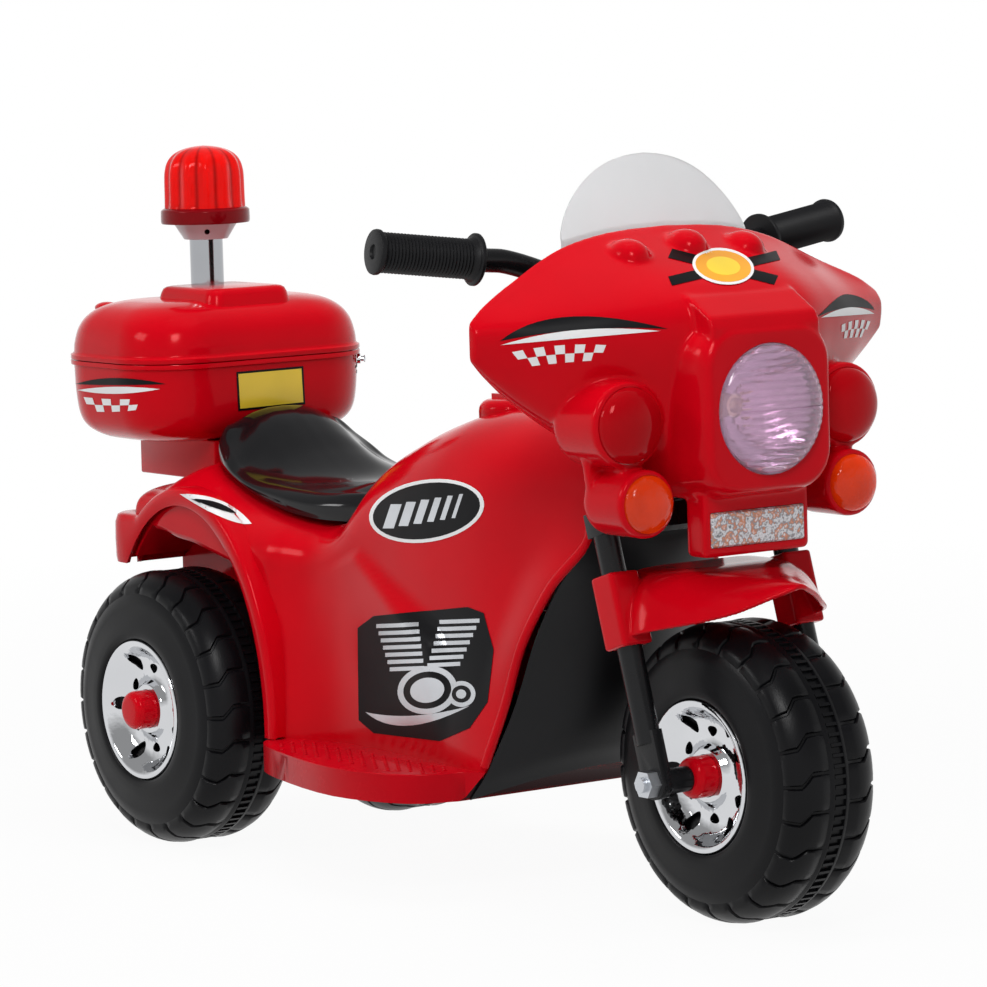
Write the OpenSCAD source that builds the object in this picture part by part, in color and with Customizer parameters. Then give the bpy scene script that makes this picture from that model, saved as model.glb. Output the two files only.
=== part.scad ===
// Battery ride-on police trike for a small child: two rear wheels, one steered front wheel.
// +X is forward, +Y the rider's left, +Z up, the floor is Z = 0.

/* [Wheels] */
// Diameter of each tyre
wheel_d = 200; // [190:1:212]
// Width of each tyre
tyre_w = 82; // [76:1:86]
// Wall of the blown tyre
tyre_wall = 5; // [4:0.5:6]
// Radius of the tyre shoulders
shoulder_r = 27; // [20:1:29]
// Lugs round each tyre shoulder
lugs = 24; // [18:1:28]
// Distance between the middles of the rear tyres
rear_track = 192; // [186:1:200]
// Diameter of the plated wheel covers
cover_d = 102; // [94:1:112]
// Diameter of the red hub caps
cap_d = 28; // [26:0.5:32]
// Diameter of both axles
axle_d = 10; // [8:0.5:11]
// Diameter of the hub tube inside each wheel
hub_d = 30; // [28:0.5:33]

/* [Body] */
// Rear axle to the front of the body
body_front = 446; // [430:1:470]
// Wall of the red mouldings
wall = 3; // [2.5:0.1:3.5]
// Height of the footboards above the floor
foot_top = 88; // [80:1:94]
// Depth of the base pan
pan_h = 20; // [18:1:26]
// Half width of the footboards at their widest
foot_w = 145; // [135:1:155]
// Room between a rear tyre and the body
wheel_gap = 4; // [3:0.5:6]
// Room above a rear tyre under its fender
arch_gap = 48; // [42:1:56]
// Half width over the rear fenders
fender_w = 105; // [101:1:110]

/* [Seat] */
// Half width of the seat
seat_w = 69; // [62:1:73]
// Height of the seat back above its base
seat_back = 40; // [32:1:44]
// Height of the seat rim at its front
seat_rim = 19; // [15:1:23]

/* [Trunk] */
// Length of the trunk
trunk_l = 150; // [140:1:160]
// Width of the trunk
trunk_w = 204; // [190:1:216]
// Corner radius of the trunk in plan
trunk_r = 52; // [40:1:60]
// Height of the trunk tub
tub_h = 60; // [52:1:70]
// Height of the trunk lid
lid_h = 43; // [38:1:48]
// Rear axle back to the middle of the trunk
trunk_back = 92; // [86:1:104]
// Length of the beacon pole
pole_h = 52; // [44:1:70]
// Diameter of the beacon pole
pole_d = 25; // [22:0.5:28]
// Diameter of the beacon lens at its rim
beacon_d = 66; // [58:1:72]

/* [Steering] */
// Lean of the steering axis
rake = 17; // [14:0.5:19]
// Body front to the steering axis
head_reach = 26; // [25:0.5:30]
// Length of the steering head
head_l = 58; // [50:1:64]
// Diameter of the steering stem
stem_d = 22; // [18:0.5:24]
// Distance between the fork legs
fork_w = 146; // [142:1:154]
// Diameter of a fork leg
leg_d = 17; // [15:0.5:19]
// Handlebar width over the grips
bar_w = 388; // [370:1:404]
// Diameter of the handlebar tube
bar_d = 16; // [14:0.5:18]
// Diameter of the grips
grip_d = 27; // [25:0.5:30]

/* [Fairing] */
// Half width of the fairing over its wings
wing_w = 172; // [164:1:180]
// Diameter of the headlight lens
head_d = 86; // [78:1:90]
// Diameter of the upper lamp lenses
lamp_d = 50; // [46:1:54]
// Diameter of the lower lamp lenses
signal_d = 38; // [34:1:42]
// Height of the windshield above the fairing
shield_h = 50; // [40:1:60]

/* [Drive] */
// Module of the fast gear pair
fast_m = 0.8; // [0.75:0.01:0.85]
// Module of the slow gear pair
slow_m = 1.25; // [1.2:0.01:1.3]
// Teeth on the two small gears
small_z = 14; // [14:1:15]
// Teeth on the two large gears
large_z = 42; // [40:1:44]
// Diameter of the motor can
motor_d = 28; // [24:0.5:30]
// Length of the motor can
motor_l = 38; // [34:1:40]

/* [Clearances] */
// Room between seated pieces that do not move on each other
seat_gap = 0.3; // [0.2:0.05:0.5]
// Radial running room of a shaft in its bore
run_gap = 0.06; // [0.03:0.01:0.1]

/* [Hidden] */
$fn = 48;

RED = "#d3121c";
DARK = "#1c1c1e";
STEEL = "#9aa0a6";
CHROME = "#d8dce0";

wheel_r = wheel_d / 2;
axle_r = axle_d / 2;
deck_z = wheel_d + arch_gap;
pan_z = foot_top - pan_h;
mid_w = rear_track / 2 - tyre_w / 2 - wheel_gap;
trunk_z = deck_z + 39;
seam_z = trunk_z + tub_h;
head_z = deck_z + 57;
head_x = body_front + head_reach;
front_x = head_x + tan(rake) * (head_z - wheel_r);
knuckle_r = 4.5;
hinge_x = -trunk_back - trunk_l / 2 - 3;
rear_reach = knuckle_r - hinge_x;
rear_x = (rear_reach - front_x - wheel_r) / 2;
far = 400;

// Smooth step from 0 to 1
function ease(t) = let (c = max(0, min(1, t))) c * c * (3 - 2 * c);
function mix(a, b, t) = a + (b - a) * t;
function unit(v) = v / norm(v);
function back(list) = [for (i = [len(list) - 1:-1:0]) list[i]];
function steps(a, b, n) = [for (i = [0:n]) mix(a, b, i / n)];

// Column k of a table of stations, read at place x on a smooth curve through the rows
function span_of(t, x, i = 0) = (i >= len(t) - 2 || x < t[i + 1][0]) ? i : span_of(t, x, i + 1);
function lean(t, i, k) =
    let (a = max(i - 1, 0), b = min(i + 1, len(t) - 1)) (t[b][k] - t[a][k]) / (t[b][0] - t[a][0]);
function at(t, x, k) =
    let (i = span_of(t, x), p = t[i], q = t[i + 1], h = q[0] - p[0], u = (x - p[0]) / h)
    (2 * u ^ 3 - 3 * u ^ 2 + 1) * p[k] + (u ^ 3 - 2 * u ^ 2 + u) * h * lean(t, i, k)
    + (3 * u ^ 2 - 2 * u ^ 3) * q[k] + (u ^ 3 - u ^ 2) * h * lean(t, i + 1, k);

// Points of an arc in a plane
function arc(c, r, a, b, n) =
    [for (t = steps(a, b, n)) [c[0] + r * cos(t), c[1] + r * sin(t)]];
// Rounded rectangle, half sizes a and b, corner radius r
function round_rect(a, b, r, n = 6) = concat(
    arc([a - r, b - r], r, 0, 90, n), arc([r - a, b - r], r, 90, 180, n),
    arc([r - a, r - b], r, 180, 270, n), arc([a - r, r - b], r, 270, 360, n));

// Closed skin over rings of equal count, each ring counter-clockwise seen from the last one
module skin(rings) {
    n = len(rings[0]);
    m = len(rings);
    polyhedron(
        points = [for (r = rings) each r],
        faces = concat(
            [[for (j = [0:n - 1]) j], [for (j = [0:n - 1]) m * n - 1 - j]],
            [for (i = [0:m - 2], j = [0:n - 1])
                let (a = i * n + j, b = i * n + (j + 1) % n)
                each [[a, a + n, b + n], [a, b + n, b]]]));
}

// Tube of radius r along a path
module tube(path, r, sides = 12) {
    m = len(path) - 1;
    skin([for (i = [0:m])
        let (
            t = unit(path[min(i + 1, m)] - path[max(i - 1, 0)]),
            s = unit(cross(t, abs(t[1]) > 0.7 ? [1, 0, 0] : [0, 1, 0])),
            u = cross(t, s))
        [for (j = [0:sides - 1]) path[i] + r * (cos(360 * j / sides) * s + sin(360 * j / sides) * u)]]);
}

// One smooth moulded mesh
module moulded() resize([0, 0, 0]) children();
module at_rear() translate([rear_x, 0, 0]) children();
module both_sides() {
    children();
    mirror([0, 1, 0]) children();
}
// A side-view outline (x, z) stretched across from y0 to y1
module across(y0, y1) translate([0, y1, 0]) rotate([90, 0, 0]) linear_extrude(y1 - y0) children();
// A front-view outline (y, z) stretched along from x0 to x1
module along(x0, x1) translate([x0, 0, 0]) rotate([90, 0, 90]) linear_extrude(x1 - x0) children();
// The steering axis: local Z runs up the stem, its zero is the middle of the head
module on_stem(s = 0)
    translate([rear_x + head_x, 0, head_z]) rotate([0, -rake, 0]) translate([0, 0, s]) children();
// A part along Y at an axle, its local Z pointing out of the given side
module at_axle(x, y, side) translate([x, y, wheel_r]) rotate([-90 * side, 0, 0]) children();

/* Wheel */
bore_r = axle_r + run_gap;
hub_r = hub_d / 2;
hub_half = 30;
web = 6;
ledge_in = 6;
ledge_drop = 7;
peg_r = 2;
peg_ring = hub_r + 3;
pegs = 3;
notch = [8, 5, 30];

function tyre_side(s) =
    let (w = tyre_w / 2, seat = cover_d / 2 + seat_gap, top = w - ledge_drop)
    [[seat - ledge_in, s * top], [seat, s * top], [seat, s * (w - 2)], [seat + 2, s * w]];
function tyre_side_in(s) =
    let (w = tyre_w / 2 - tyre_wall, seat = cover_d / 2 + seat_gap, top = tyre_w / 2 - ledge_drop)
    [[seat + tyre_wall, s * w], [seat + tyre_wall, s * (top - tyre_wall)],
        [seat - ledge_in, s * (top - tyre_wall)]];
function tyre_profile() =
    let (w = tyre_w / 2, c = [wheel_r - shoulder_r, w - shoulder_r], g = 2, d = 2.5, r = wheel_r)
    concat(
        tyre_side(1), arc(c, shoulder_r, 90, 0, 6), [[r, g], [r - d, g], [r - d, -g], [r, -g]],
        arc([c[0], -c[1]], shoulder_r, 0, -90, 6), back(tyre_side(-1)), back(tyre_side_in(-1)),
        arc([c[0], -c[1]], shoulder_r - tyre_wall, -90, 0, 4),
        [[r - tyre_wall, -web / 2], [hub_r, -web / 2], [hub_r, -hub_half], [bore_r, -hub_half],
            [bore_r, hub_half], [hub_r, hub_half], [hub_r, web / 2], [r - tyre_wall, web / 2]],
        arc(c, shoulder_r - tyre_wall, 0, 90, 4), tyre_side_in(1));

module tyre() color(DARK) difference() {
    rotate_extrude() polygon(tyre_profile());
    for (i = [0:lugs - 1], s = [-1, 1])
        rotate([0, 0, 360 * (i + s / 4) / lugs])
            translate([wheel_r - 0.29 * shoulder_r, 0, s * (tyre_w / 2 - 0.29 * shoulder_r)])
                rotate([0, -45 * s, 0]) translate([notch[0] / 2 - 2.6, 0, 0]) cube(notch, center = true);
    for (i = [0:pegs - 1])
        rotate([0, 0, 360 * i / pegs]) translate([peg_ring, 0, -web])
            cylinder(r = peg_r + 0.2, h = 2 * web);
}

cover_t = 2;
spokes = 6;
function cover_top() =
    let (r = cover_d / 2, h = tyre_w / 2)
    [[r, h - ledge_drop + cover_t + seat_gap], [r, h - 1.5], [r - 2, h], [r - 5, h - 1], [r - 8, h - 6],
        [r - 14, h - 13], [r - 24, h - 15], [cap_d / 2 + 6, h - 13], [cap_d / 2 + 4, h - 8],
        [cap_d / 2 + seat_gap, h - 8]];
module wheel_cover() color(CHROME) difference() {
    rotate_extrude() polygon(concat(
        cover_top(),
        [for (p = back(cover_top())) [p[0] == cover_d / 2 ? p[0] - 4 : p[0], p[1] - cover_t]]));
    for (i = [0:spokes - 1]) rotate([0, 0, 360 * i / spokes]) {
        translate([cover_d / 2 - 15, 0, 0]) cylinder(d = 11, h = tyre_w);
        rotate([0, 0, 180 / spokes]) translate([cover_d / 2 - 22, 0, 0]) cylinder(d = 5, h = tyre_w);
    }
}

cap_h = 22;
module hub_cap() color(RED) translate([0, 0, hub_half + seat_gap]) rotate_extrude() polygon(concat(
    [[cap_d / 2 - 2, 0], [cap_d / 2, 0], [cap_d / 2, cap_h - 6]],
    arc([cap_d / 2 - 6, cap_h - 6], 6, 0, 90, 4),
    [[0, cap_h], [0, cap_h - 3], [cap_d / 2 - 5, cap_h - 3], [cap_d / 2 - 2, cap_h - 6]]));

/* Body */
arch_shift = 15;
arch_room = 18;
tail_x = -90;
tail_z = deck_z - 48;
tier_z = deck_z - 13;
rear_wall_x = -62;
bracket_x = [-140, -36];
bracket_w = 40;
bracket_z = [deck_z + 9, trunk_z];
tank_x = 190;
cap_x = on_tank(0.35546875);
cap_seat = deck_z + 72;
panel_x = on_tank(0.234375);
panel_z = foot_top + 88;
panel_w = 58;
panel_h = 44;
panel_y = 70;

// Stations of the red body: place, half width at the foot and at the belt, belt, top, roundness
function on_tank(f) = mix(tank_x, body_front, f);
body_rows = [
    [-62, 96, 95, -18, 9, 4], [-40, 97, 96, -18, 14, 3.4], [-20, 97, 97, -18, 27, 2.7],
    [0, 97, 97, -22, 27, 2.5], [20, 97, 97, -24, 23, 2.5], [40, 98, 97, -28, 17, 2.5],
    [60, 98, 97, -32, 11, 2.5], [80, 99, 96, -36, 6, 2.5], [105, 100, 92, -40, 1, 2.5],
    [120, 99, 85, -40, -1, 2.4], [140, 90, 78, -40, -2, 2.3], [165, 79, 75, -34, 8, 2.3],
    [tank_x, 76, 74, -24, 40, 2.2], [on_tank(0.125), 77, 74, -16, 57, 2.2],
    [on_tank(0.25), 79, 75, -10, 69, 2.2], [on_tank(0.39), 82, 75, -5, 78, 2.2],
    [on_tank(0.59), 86, 72, -2, 81, 2.2], [on_tank(0.78), 80, 64, 0, 79, 2.2],
    [body_front + 2, 62, 54, 0, 66, 2.3]];
fold_depth = 5;
fold_w = 20;
fold_x = [165, 330];
// Height of the fold under the tank, and how deep it is there
function fold_z(x) = deck_z - 16 - 42 * (x - 175) / 100;
function fold_in(x, z) = fold_depth * ease((fold_z(x) - z) / fold_w + 0.5) * ease((x - fold_x[0]) / 30)
    * ease((fold_x[1] - x) / 60) * ease((z - foot_top - 10) / 50);
// Heights down the flank from floor a to belt b, gathered along the fold
function flank(x, a, b, n) =
    let (f = max(a + 2 * fold_w, min(b - fold_w, fold_z(x))), lo = f - fold_w / 2, hi = f + fold_w / 2)
    concat(steps(a, lo, n), [f], steps(hi, b, n));
// Ring of the body at station x, drawn in by d
function body_ring(x, d, n_side, n_top) =
    let (
        wb = at(body_rows, x, 1) - d, wm = at(body_rows, x, 2) - d, zm = deck_z + at(body_rows, x, 3),
        zt = deck_z + at(body_rows, x, 4) - d, p = 2 / at(body_rows, x, 5), z0 = foot_top - (d > 0 ? 1 : 0),
        side = [for (z = flank(x, z0, zm, n_side))
            [mix(wb, wm, ease((z - z0) / (zm - z0))) - fold_in(x, z), z]],
        top = [for (a = [1:n_top]) let (q = 90 * a / n_top)
            [a == n_top ? 0 : wm * cos(q) ^ p, zm + (zt - zm) * (a == n_top ? 1 : sin(q) ^ p)]],
        half = concat(side, top))
    concat([for (q = half) [x, q[0], q[1]]],
        [for (i = [len(half) - 2:-1:0]) [x, -half[i][0], half[i][1]]]);

// Side view of the arch over a rear wheel, grown by d
module arch_outline(d = 0)
    translate([arch_shift, wheel_r - 5])
        scale([wheel_r + arch_room - arch_shift + d, deck_z - wheel_r + 5 + d]) circle(1, $fn = 56);
// Room of both rear wheels, grown by d into the body
module wheel_room(d = 0) both_sides() {
    across(mid_w - d, far) arch_outline(d);
    translate([-far, mid_w - d, 0]) cube([far + arch_shift, far, tail_z + d]);
}
// The edge between the red body and the black apron: height, place, half width, middle of the apron
foot_front = body_front - 88;
edge_rows = [
    [pan_z, foot_front - 15, 88, foot_front + 24], [foot_top, foot_front, 84, foot_front + 36],
    [mix(foot_top, deck_z, 0.3), foot_front + 21, 73, foot_front + 52],
    [mix(foot_top, deck_z, 0.58), foot_front + 43, 63, foot_front + 66],
    [mix(foot_top, deck_z, 0.8), foot_front + 65, 58, foot_front + 79],
    [deck_z, body_front - 2, 55, body_front + 1], [deck_z + 14, body_front, 53, body_front],
    [deck_z + 66, body_front, 46, body_front]];
module front_room() across(-far, far) polygon(concat(
    [for (r = edge_rows) [r[1], r[0]]],
    [[body_front, far * 2], [far * 2, far * 2], [far * 2, 0], [foot_front - 15, 0]]));

// Seat stations: place, half width, rim and middle heights, base over the deck
seat_front = 168;
seat_rows = [
    [-24, 0.38, 0.7, 0.5, 29], [-18, 0.62, 1.15, 0.76, 28], [-5, 0.79, 1.36, 0.95, 26],
    [8, 0.88, 1, 1, 23], [20, 0.94, 0.74, 0.95, 20], [34, 0.97, 0.5, 0.82, 16], [54, 1, 0.5, 0.6, 10],
    [80, 1, 0.7, 0.43, 3], [105, 0.98, 0.84, 0.42, -2], [130, 0.91, 0.92, 0.55, -5],
    [150, 0.8, 1, 0.7, -6], [seat_front, 0.64, 1, 0.76, -6]];
function seat_half(x) = seat_w * at(seat_rows, x, 1);
function seat_edge(x) = seat_rim * at(seat_rows, x, 2);
function seat_mid(x) = seat_back * at(seat_rows, x, 3);
function seat_base(x) = deck_z + at(seat_rows, x, 4);
seat_x = concat(steps(-24, 0, 6), steps(8, 152, 16), steps(158, seat_front, 2));
// Room of the seat, grown by d
module seat_room(d) intersection() {
    linear_extrude(2 * far) offset(delta = d) polygon(concat(
        [for (x = seat_x) [x, -seat_half(x) - 2]], [for (x = back(seat_x)) [x, seat_half(x) + 2]]));
    across(-far, far) polygon(concat(
        [[-far, seat_base(-24) - d]], [for (x = seat_x) [x, seat_base(x) - d]],
        [[far, seat_base(seat_front) - d], [far, 2 * far], [-far, 2 * far]]));
}

module tail_tier() {
    intersection() {
        translate([0, 0, tail_z]) linear_extrude(tier_z - tail_z) polygon(
            [for (p = round_rect(60, fender_w, 24)) [p[0] + tail_x + 60, p[1]]]);
        translate([-far, -far, 0]) cube([far + 60, 2 * far, far]);
    }
    both_sides() across(fender_w - 22, fender_w) intersection() {
        arch_outline(12);
        union() {
            translate([0, foot_top]) square(far);
            translate([-far, tail_z]) square(far);
        }
    }
}
module tail_hollow() both_sides()
    translate([tail_x + wall, mid_w + wall, 0]) cube([far, fender_w - mid_w - 2 * wall, tier_z - wall]);

module body_solid() difference() {
    union() {
        skin([for (x = concat(steps(-62, 140, 14), steps(152, body_front + 2, 18))) body_ring(x, 0, 3, 8)]);
        difference() {
            tail_tier();
            tail_hollow();
        }
    }
    wheel_room();
}
module body_hollow() difference() {
    skin([for (x = concat(steps(rear_wall_x + wall, 140, 8), steps(155, body_front + 2, 9)))
        body_ring(x, wall + 1, 2, 5)]);
    wheel_room(wall);
    seat_room(wall);
    translate([-far, -far, bracket_z[0] - wall]) cube([far + bracket_x[1] + wall, 2 * far, far]);
    translate([cap_x, 0, cap_seat - wall]) cylinder(d = 50, h = far);
}
module body_shell() color(RED) at_rear() moulded() difference() {
    body_solid();
    body_hollow();
    front_room();
    seat_room(seat_gap);
    translate([bracket_x[0], -bracket_w - seat_gap, bracket_z[0]])
        cube([bracket_x[1] - bracket_x[0] + seat_gap, 2 * (bracket_w + seat_gap), far]);
    translate([cap_x, 0, cap_seat]) cylinder(d = 44, h = far);
    translate([0, 0, wheel_r]) rotate([-90, 0, 0]) cylinder(r = sleeve_r + 2, h = far, $fn = 32);
    translate([0, 0, wheel_r]) rotate([90, 0, 0]) cylinder(r = axle_r + 2, h = far, $fn = 24);
    translate([panel_x - panel_w / 2, 40, panel_z - panel_h / 2]) cube([panel_w, 60, panel_h]);
}

module seat() color(DARK) at_rear() moulded() skin([for (x = seat_x)
    let (
        w = seat_half(x), e = seat_edge(x), m = seat_mid(x), b = seat_base(x) + seat_gap,
        half = [[w, 0], [w + 1.6, 0.3 * e], [w + 1, 0.6 * e], [w - 3, 0.88 * e], [w * 0.88, e],
            [w * 0.78, mix(e, m, 0.12)], [w * 0.64, mix(e, m, 0.4)], [w * 0.48, mix(e, m, 0.7)],
            [w * 0.25, mix(e, m, 0.93)], [0, m]])
    concat([for (p = half) [x, p[0], b + p[1]]],
        [for (i = [len(half) - 2:-1:0]) [x, -half[i][0], b + half[i][1]]])]);

module fuel_cap() color(RED) at_rear() translate([cap_x, 0, cap_seat]) {
    rotate_extrude() polygon(concat([[0, 0], [21, 0], [21, 5]], arc([13, 5], 8, 0, 90, 5), [[0, 13]]));
    translate([-16, -3, 11]) cube([32, 6, 5]);
}

module trunk_bracket() color(RED) at_rear() difference() {
    translate([bracket_x[0], -bracket_w, bracket_z[0]])
        cube([bracket_x[1] - bracket_x[0], 2 * bracket_w, bracket_z[1] - bracket_z[0]]);
    translate([bracket_x[0] + wall, -bracket_w + wall, bracket_z[0] + wall])
        cube([-trunk_back - bracket_x[0] + 30, 2 * (bracket_w - wall), far]);
}

/* Base pan */
foot_back = 121;
foot_rows = [
    [foot_back, 88], [foot_back + 7, 113], [foot_back + 54, 131], [foot_front - 96, foot_w],
    [foot_front - 33, 128], [foot_front - 13, 92]];
function foot_out(i) = let (t = [for (k = [0:5]) [k, foot_rows[k][0], foot_rows[k][1]]])
    [at(t, i, 1), at(t, i, 2)];
module pan_outline() polygon(concat(
    [[rear_wall_x, -mid_w], [foot_back, -mid_w]], [for (i = steps(0, 5, 20)) let (p = foot_out(i)) [p[0], -p[1]]],
    [[foot_front, -84], [foot_front, 84]],
    [for (i = steps(5, 0, 20)) foot_out(i)], [[foot_back, mid_w], [rear_wall_x, mid_w]]));
well_w = 68;
module well_outline() polygon([
    [rear_wall_x + 6, 6 - mid_w], [140, 6 - mid_w], [165, -well_w], [foot_front - 26, -well_w],
    [foot_front - 26, well_w], [165, well_w], [140, mid_w - 6], [rear_wall_x + 6, mid_w - 6]]);
post_t = 8;
post_gap = 4.5;
module axle_post(y) difference() {
    translate([0, y, 0]) rotate([-90, 0, 0]) union() {
        translate([0, -wheel_r, 0]) cylinder(r = axle_r + 7, h = post_t);
        translate([-axle_r - 7, -wheel_r, 0]) cube([2 * axle_r + 14, wheel_r - pan_z - 2, post_t]);
    }
    translate([0, y - 1, wheel_r]) rotate([-90, 0, 0]) cylinder(r = axle_r + run_gap, h = post_t + 2);
}
pedal_x = foot_front - 96;
pedal_y = 96;
pedal_l = 52;
pedal_w = 32;
pin_r = 2.5;
pedal_z = foot_top + 6;
speaker_x = foot_front - 58;
case_foot = 22;
bay_x = 150;
bay_w = [34, 46, 46, 46, 30];
bay_step = (foot_front - bay_x - 28) / len(bay_w);
module base_pan() color(RED) at_rear() {
    difference() {
        translate([0, 0, pan_z]) linear_extrude(pan_h) pan_outline();
        translate([0, 0, pan_z + wall]) linear_extrude(pan_h) well_outline();
        // Undersides of the footboards, with ribs left standing
        both_sides() for (i = [0:len(bay_w) - 1])
            translate([bay_x + bay_step * i, well_w + 20, pan_z - 1])
                cube([bay_step - 4, bay_w[i], pan_h + 1 - wall]);
        front_room();
        translate([0, 0, wheel_r]) rotate([-90, 0, 0]) cylinder(r = sleeve_r + 2, h = far);
        translate([0, 0, wheel_r]) rotate([90, 0, 0]) cylinder(r = axle_r + 2, h = far);
        for (r = [8, 16], i = [0:7])
            translate([speaker_x + r * cos(45 * i), r * sin(45 * i), pan_z - 1])
                cylinder(d = 4, h = wall + 2);
        translate([pedal_x + 20, pedal_y, foot_top - wall - 1]) cube([24, pedal_w, wall + 2]);
        translate([-case_foot, motor_y - 1, pan_z - 1])
            cube([2 * case_foot, box_y - motor_y + 2, wall + 2]);
    }
    for (y = [6 - mid_w, motor_y - post_gap - post_t]) axle_post(y);
    for (y = [pedal_y - 5, pedal_y + pedal_w + 1]) difference() {
        translate([pedal_x - 5, y, foot_top - 1]) cube([10, 4, pedal_z - foot_top + 6]);
        translate([pedal_x, y - 1, pedal_z]) rotate([-90, 0, 0]) cylinder(r = pin_r + run_gap, h = 6);
    }
}

/* Apron and steering head */
apron_t = 4;
apron_lift = 20;
apron_z = concat(
    steps(pan_z, foot_top, 2), steps(foot_top + 16, deck_z - 12, 9),
    [deck_z, deck_z + 14, deck_z + 40, deck_z + 64]);
function apron_arc(z, d) =
    let (
        xe = at(edge_rows, z, 1) + seat_gap, w = at(edge_rows, z, 2),
        xc = at(edge_rows, z, 3) + seat_gap + apron_t,
        lift = apron_lift * ease((foot_top + 60 - z) / 84))
    [for (t = steps(-1, 1, 12)) let (k = 1 - t * t)
        [mix(xe + (d == 0 ? 1.5 : 0), xc - d, k), t * (w - d * 0.4), z + lift * k]];
module front_apron() color(DARK) at_rear() moulded()
    skin([for (z = apron_z) concat(apron_arc(z, 0), back(apron_arc(z, apron_t)))]);

head_r = stem_d / 2 + 4.5;
head_seat = body_front + apron_t + 2 * seat_gap;
module steering_head() color(DARK) difference() {
    hull() {
        on_stem(-head_l / 2) cylinder(r = head_r, h = head_l, $fn = 32);
        at_rear() translate([head_seat, -head_r - 8, deck_z + 26]) cube([3, 2 * head_r + 16, 36]);
    }
    on_stem(-head_l) cylinder(d = stem_d + 2 * run_gap, h = 2 * head_l);
    at_rear() translate([0, -far / 2, 0]) cube([head_seat, far, 2 * far]);
}

/* Trunk and beacon */
trunk_wall = 3;
flange = 2;
lip_h = 4;
// Trunk rings: share of the height, draw-in from the full plan
tub_rows = [[0, 30], [0.05, 18], [0.16, 8], [0.32, 3], [0.6, 0.8], [1, 0]];
lid_rows = [[0, 0], [0.3, 1], [0.55, 4], [0.75, 10], [0.9, 20], [0.98, 34], [1, 46]];
function trunk_ring(z, d) =
    [for (p = round_rect(trunk_l / 2 - d, trunk_w / 2 - d, max(trunk_r - 0.6 * d, 8)))
        [p[0] - trunk_back, p[1], z]];
function tub_rings(d) = [for (r = tub_rows)
    trunk_ring(trunk_z + r[0] * tub_h + (r[0] == 0 ? d : r[0] == 1 && d > 0 ? 1 : 0), r[1] + d)];
function lid_rings(d) = [for (r = lid_rows)
    trunk_ring(seam_z + seat_gap + r[0] * (lid_h - d) - (r[0] == 0 && d > 0 ? 1 : 0), r[1] + d)];
hinge_z = seam_z;
hinge_w = 46;
module hinge_hole() translate([hinge_x, -far / 2, hinge_z]) rotate([-90, 0, 0])
    cylinder(r = pin_r + run_gap, h = far);
// The lip on either side of the trunk seam
module trunk_lip(z) translate([0, 0, z]) linear_extrude(lip_h)
    polygon([for (p = trunk_ring(0, -flange)) [p[0], p[1]]]);
module knuckle(y0, y1, up) difference() {
    union() {
        translate([hinge_x, y0, hinge_z]) rotate([-90, 0, 0]) cylinder(r = knuckle_r, h = y1 - y0);
        translate([hinge_x, y0, hinge_z + (up > 0 ? 1 : -6)]) cube([7, y1 - y0, 5]);
    }
    hinge_hole();
}
module trunk_tub() color(RED) at_rear() {
    difference() {
        union() {
            skin(tub_rings(0));
            trunk_lip(seam_z - lip_h);
        }
        skin(tub_rings(trunk_wall));
        translate([hinge_x - 6, -hinge_w / 2 - 1, seam_z - knuckle_r - 1]) cube([12, hinge_w + 2, far]);
        hinge_hole();
    }
    both_sides() knuckle(hinge_w / 2 + 0.4, hinge_w / 2 + 14, -1);
}
block_l = 84;
block_w = 76;
block_x = -trunk_back + 14;
block_z = seam_z + lid_h - 9;
block_h = 18;
pole_x = -trunk_back - 8;
module lid_block() translate([block_x, 0, block_z]) hull() {
    linear_extrude(1) polygon(round_rect(block_l / 2, block_w / 2, 12));
    translate([0, 0, block_h - 1]) linear_extrude(1)
        polygon(round_rect(block_l / 2 - 4, block_w / 2 - 4, 9));
}
module trunk_lid() color(RED) at_rear() {
    difference() {
        union() {
            skin(lid_rings(0));
            trunk_lip(seam_z + seat_gap);
            lid_block();
        }
        skin(lid_rings(trunk_wall));
        translate([pole_x, 0, block_z]) cylinder(d = pole_d + 2 * seat_gap, h = far);
        translate([pole_x, 0, seam_z]) cylinder(d = 8, h = far);
        both_sides() translate([hinge_x - 6, hinge_w / 2 - 0.4, 0]) cube([12, 16, seam_z + knuckle_r + 1]);
        hinge_hole();
    }
    knuckle(-hinge_w / 2, hinge_w / 2, 1);
}
module hinge_pin() color(STEEL) at_rear() translate([hinge_x, -hinge_w / 2 - 14, hinge_z])
    rotate([-90, 0, 0]) cylinder(r = pin_r, h = hinge_w + 28);
catch_a = 54;
module lid_catch() color(CHROME) at_rear()
    translate([trunk_l / 2 - trunk_back - trunk_r, trunk_w / 2 - trunk_r, seam_z - 8])
        rotate([0, 0, catch_a]) translate([trunk_r, 0, 0]) rotate([0, 90, 0]) rotate_extrude()
            polygon([[0, 0], [4, 0], [4, 2.5], [2, 3], [2, 5], [3, 6], [0, 7]]);

pole_z = block_z + seat_gap;
cup_z = pole_z + pole_h;
cup_h = 12;
rim_z = cup_z + cup_h;
beacon_r = beacon_d / 2;
beacon_h = 58;
dome_h = 20;
flutes = 18;
module on_pole(z) at_rear() translate([pole_x, 0, z]) children();
module beacon_pole() color(CHROME) on_pole(pole_z) difference() {
    cylinder(d = pole_d, h = pole_h);
    translate([0, 0, -1]) cylinder(d = pole_d - 4, h = pole_h + 2);
}
module beacon_cup() color(CHROME) on_pole(cup_z) difference() {
    rotate_extrude() polygon([
        [4, 0], [pole_d / 2 + 4, 0], [beacon_r - 9, cup_h], [beacon_r - 11, cup_h], [pole_d / 2 + 2, 3],
        [4, 3]]);
    for (s = [-1, 1]) translate([0, 0, cup_h / 2]) rotate([90, 0, 60 * s]) cylinder(d = 4, h = far);
}
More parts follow.
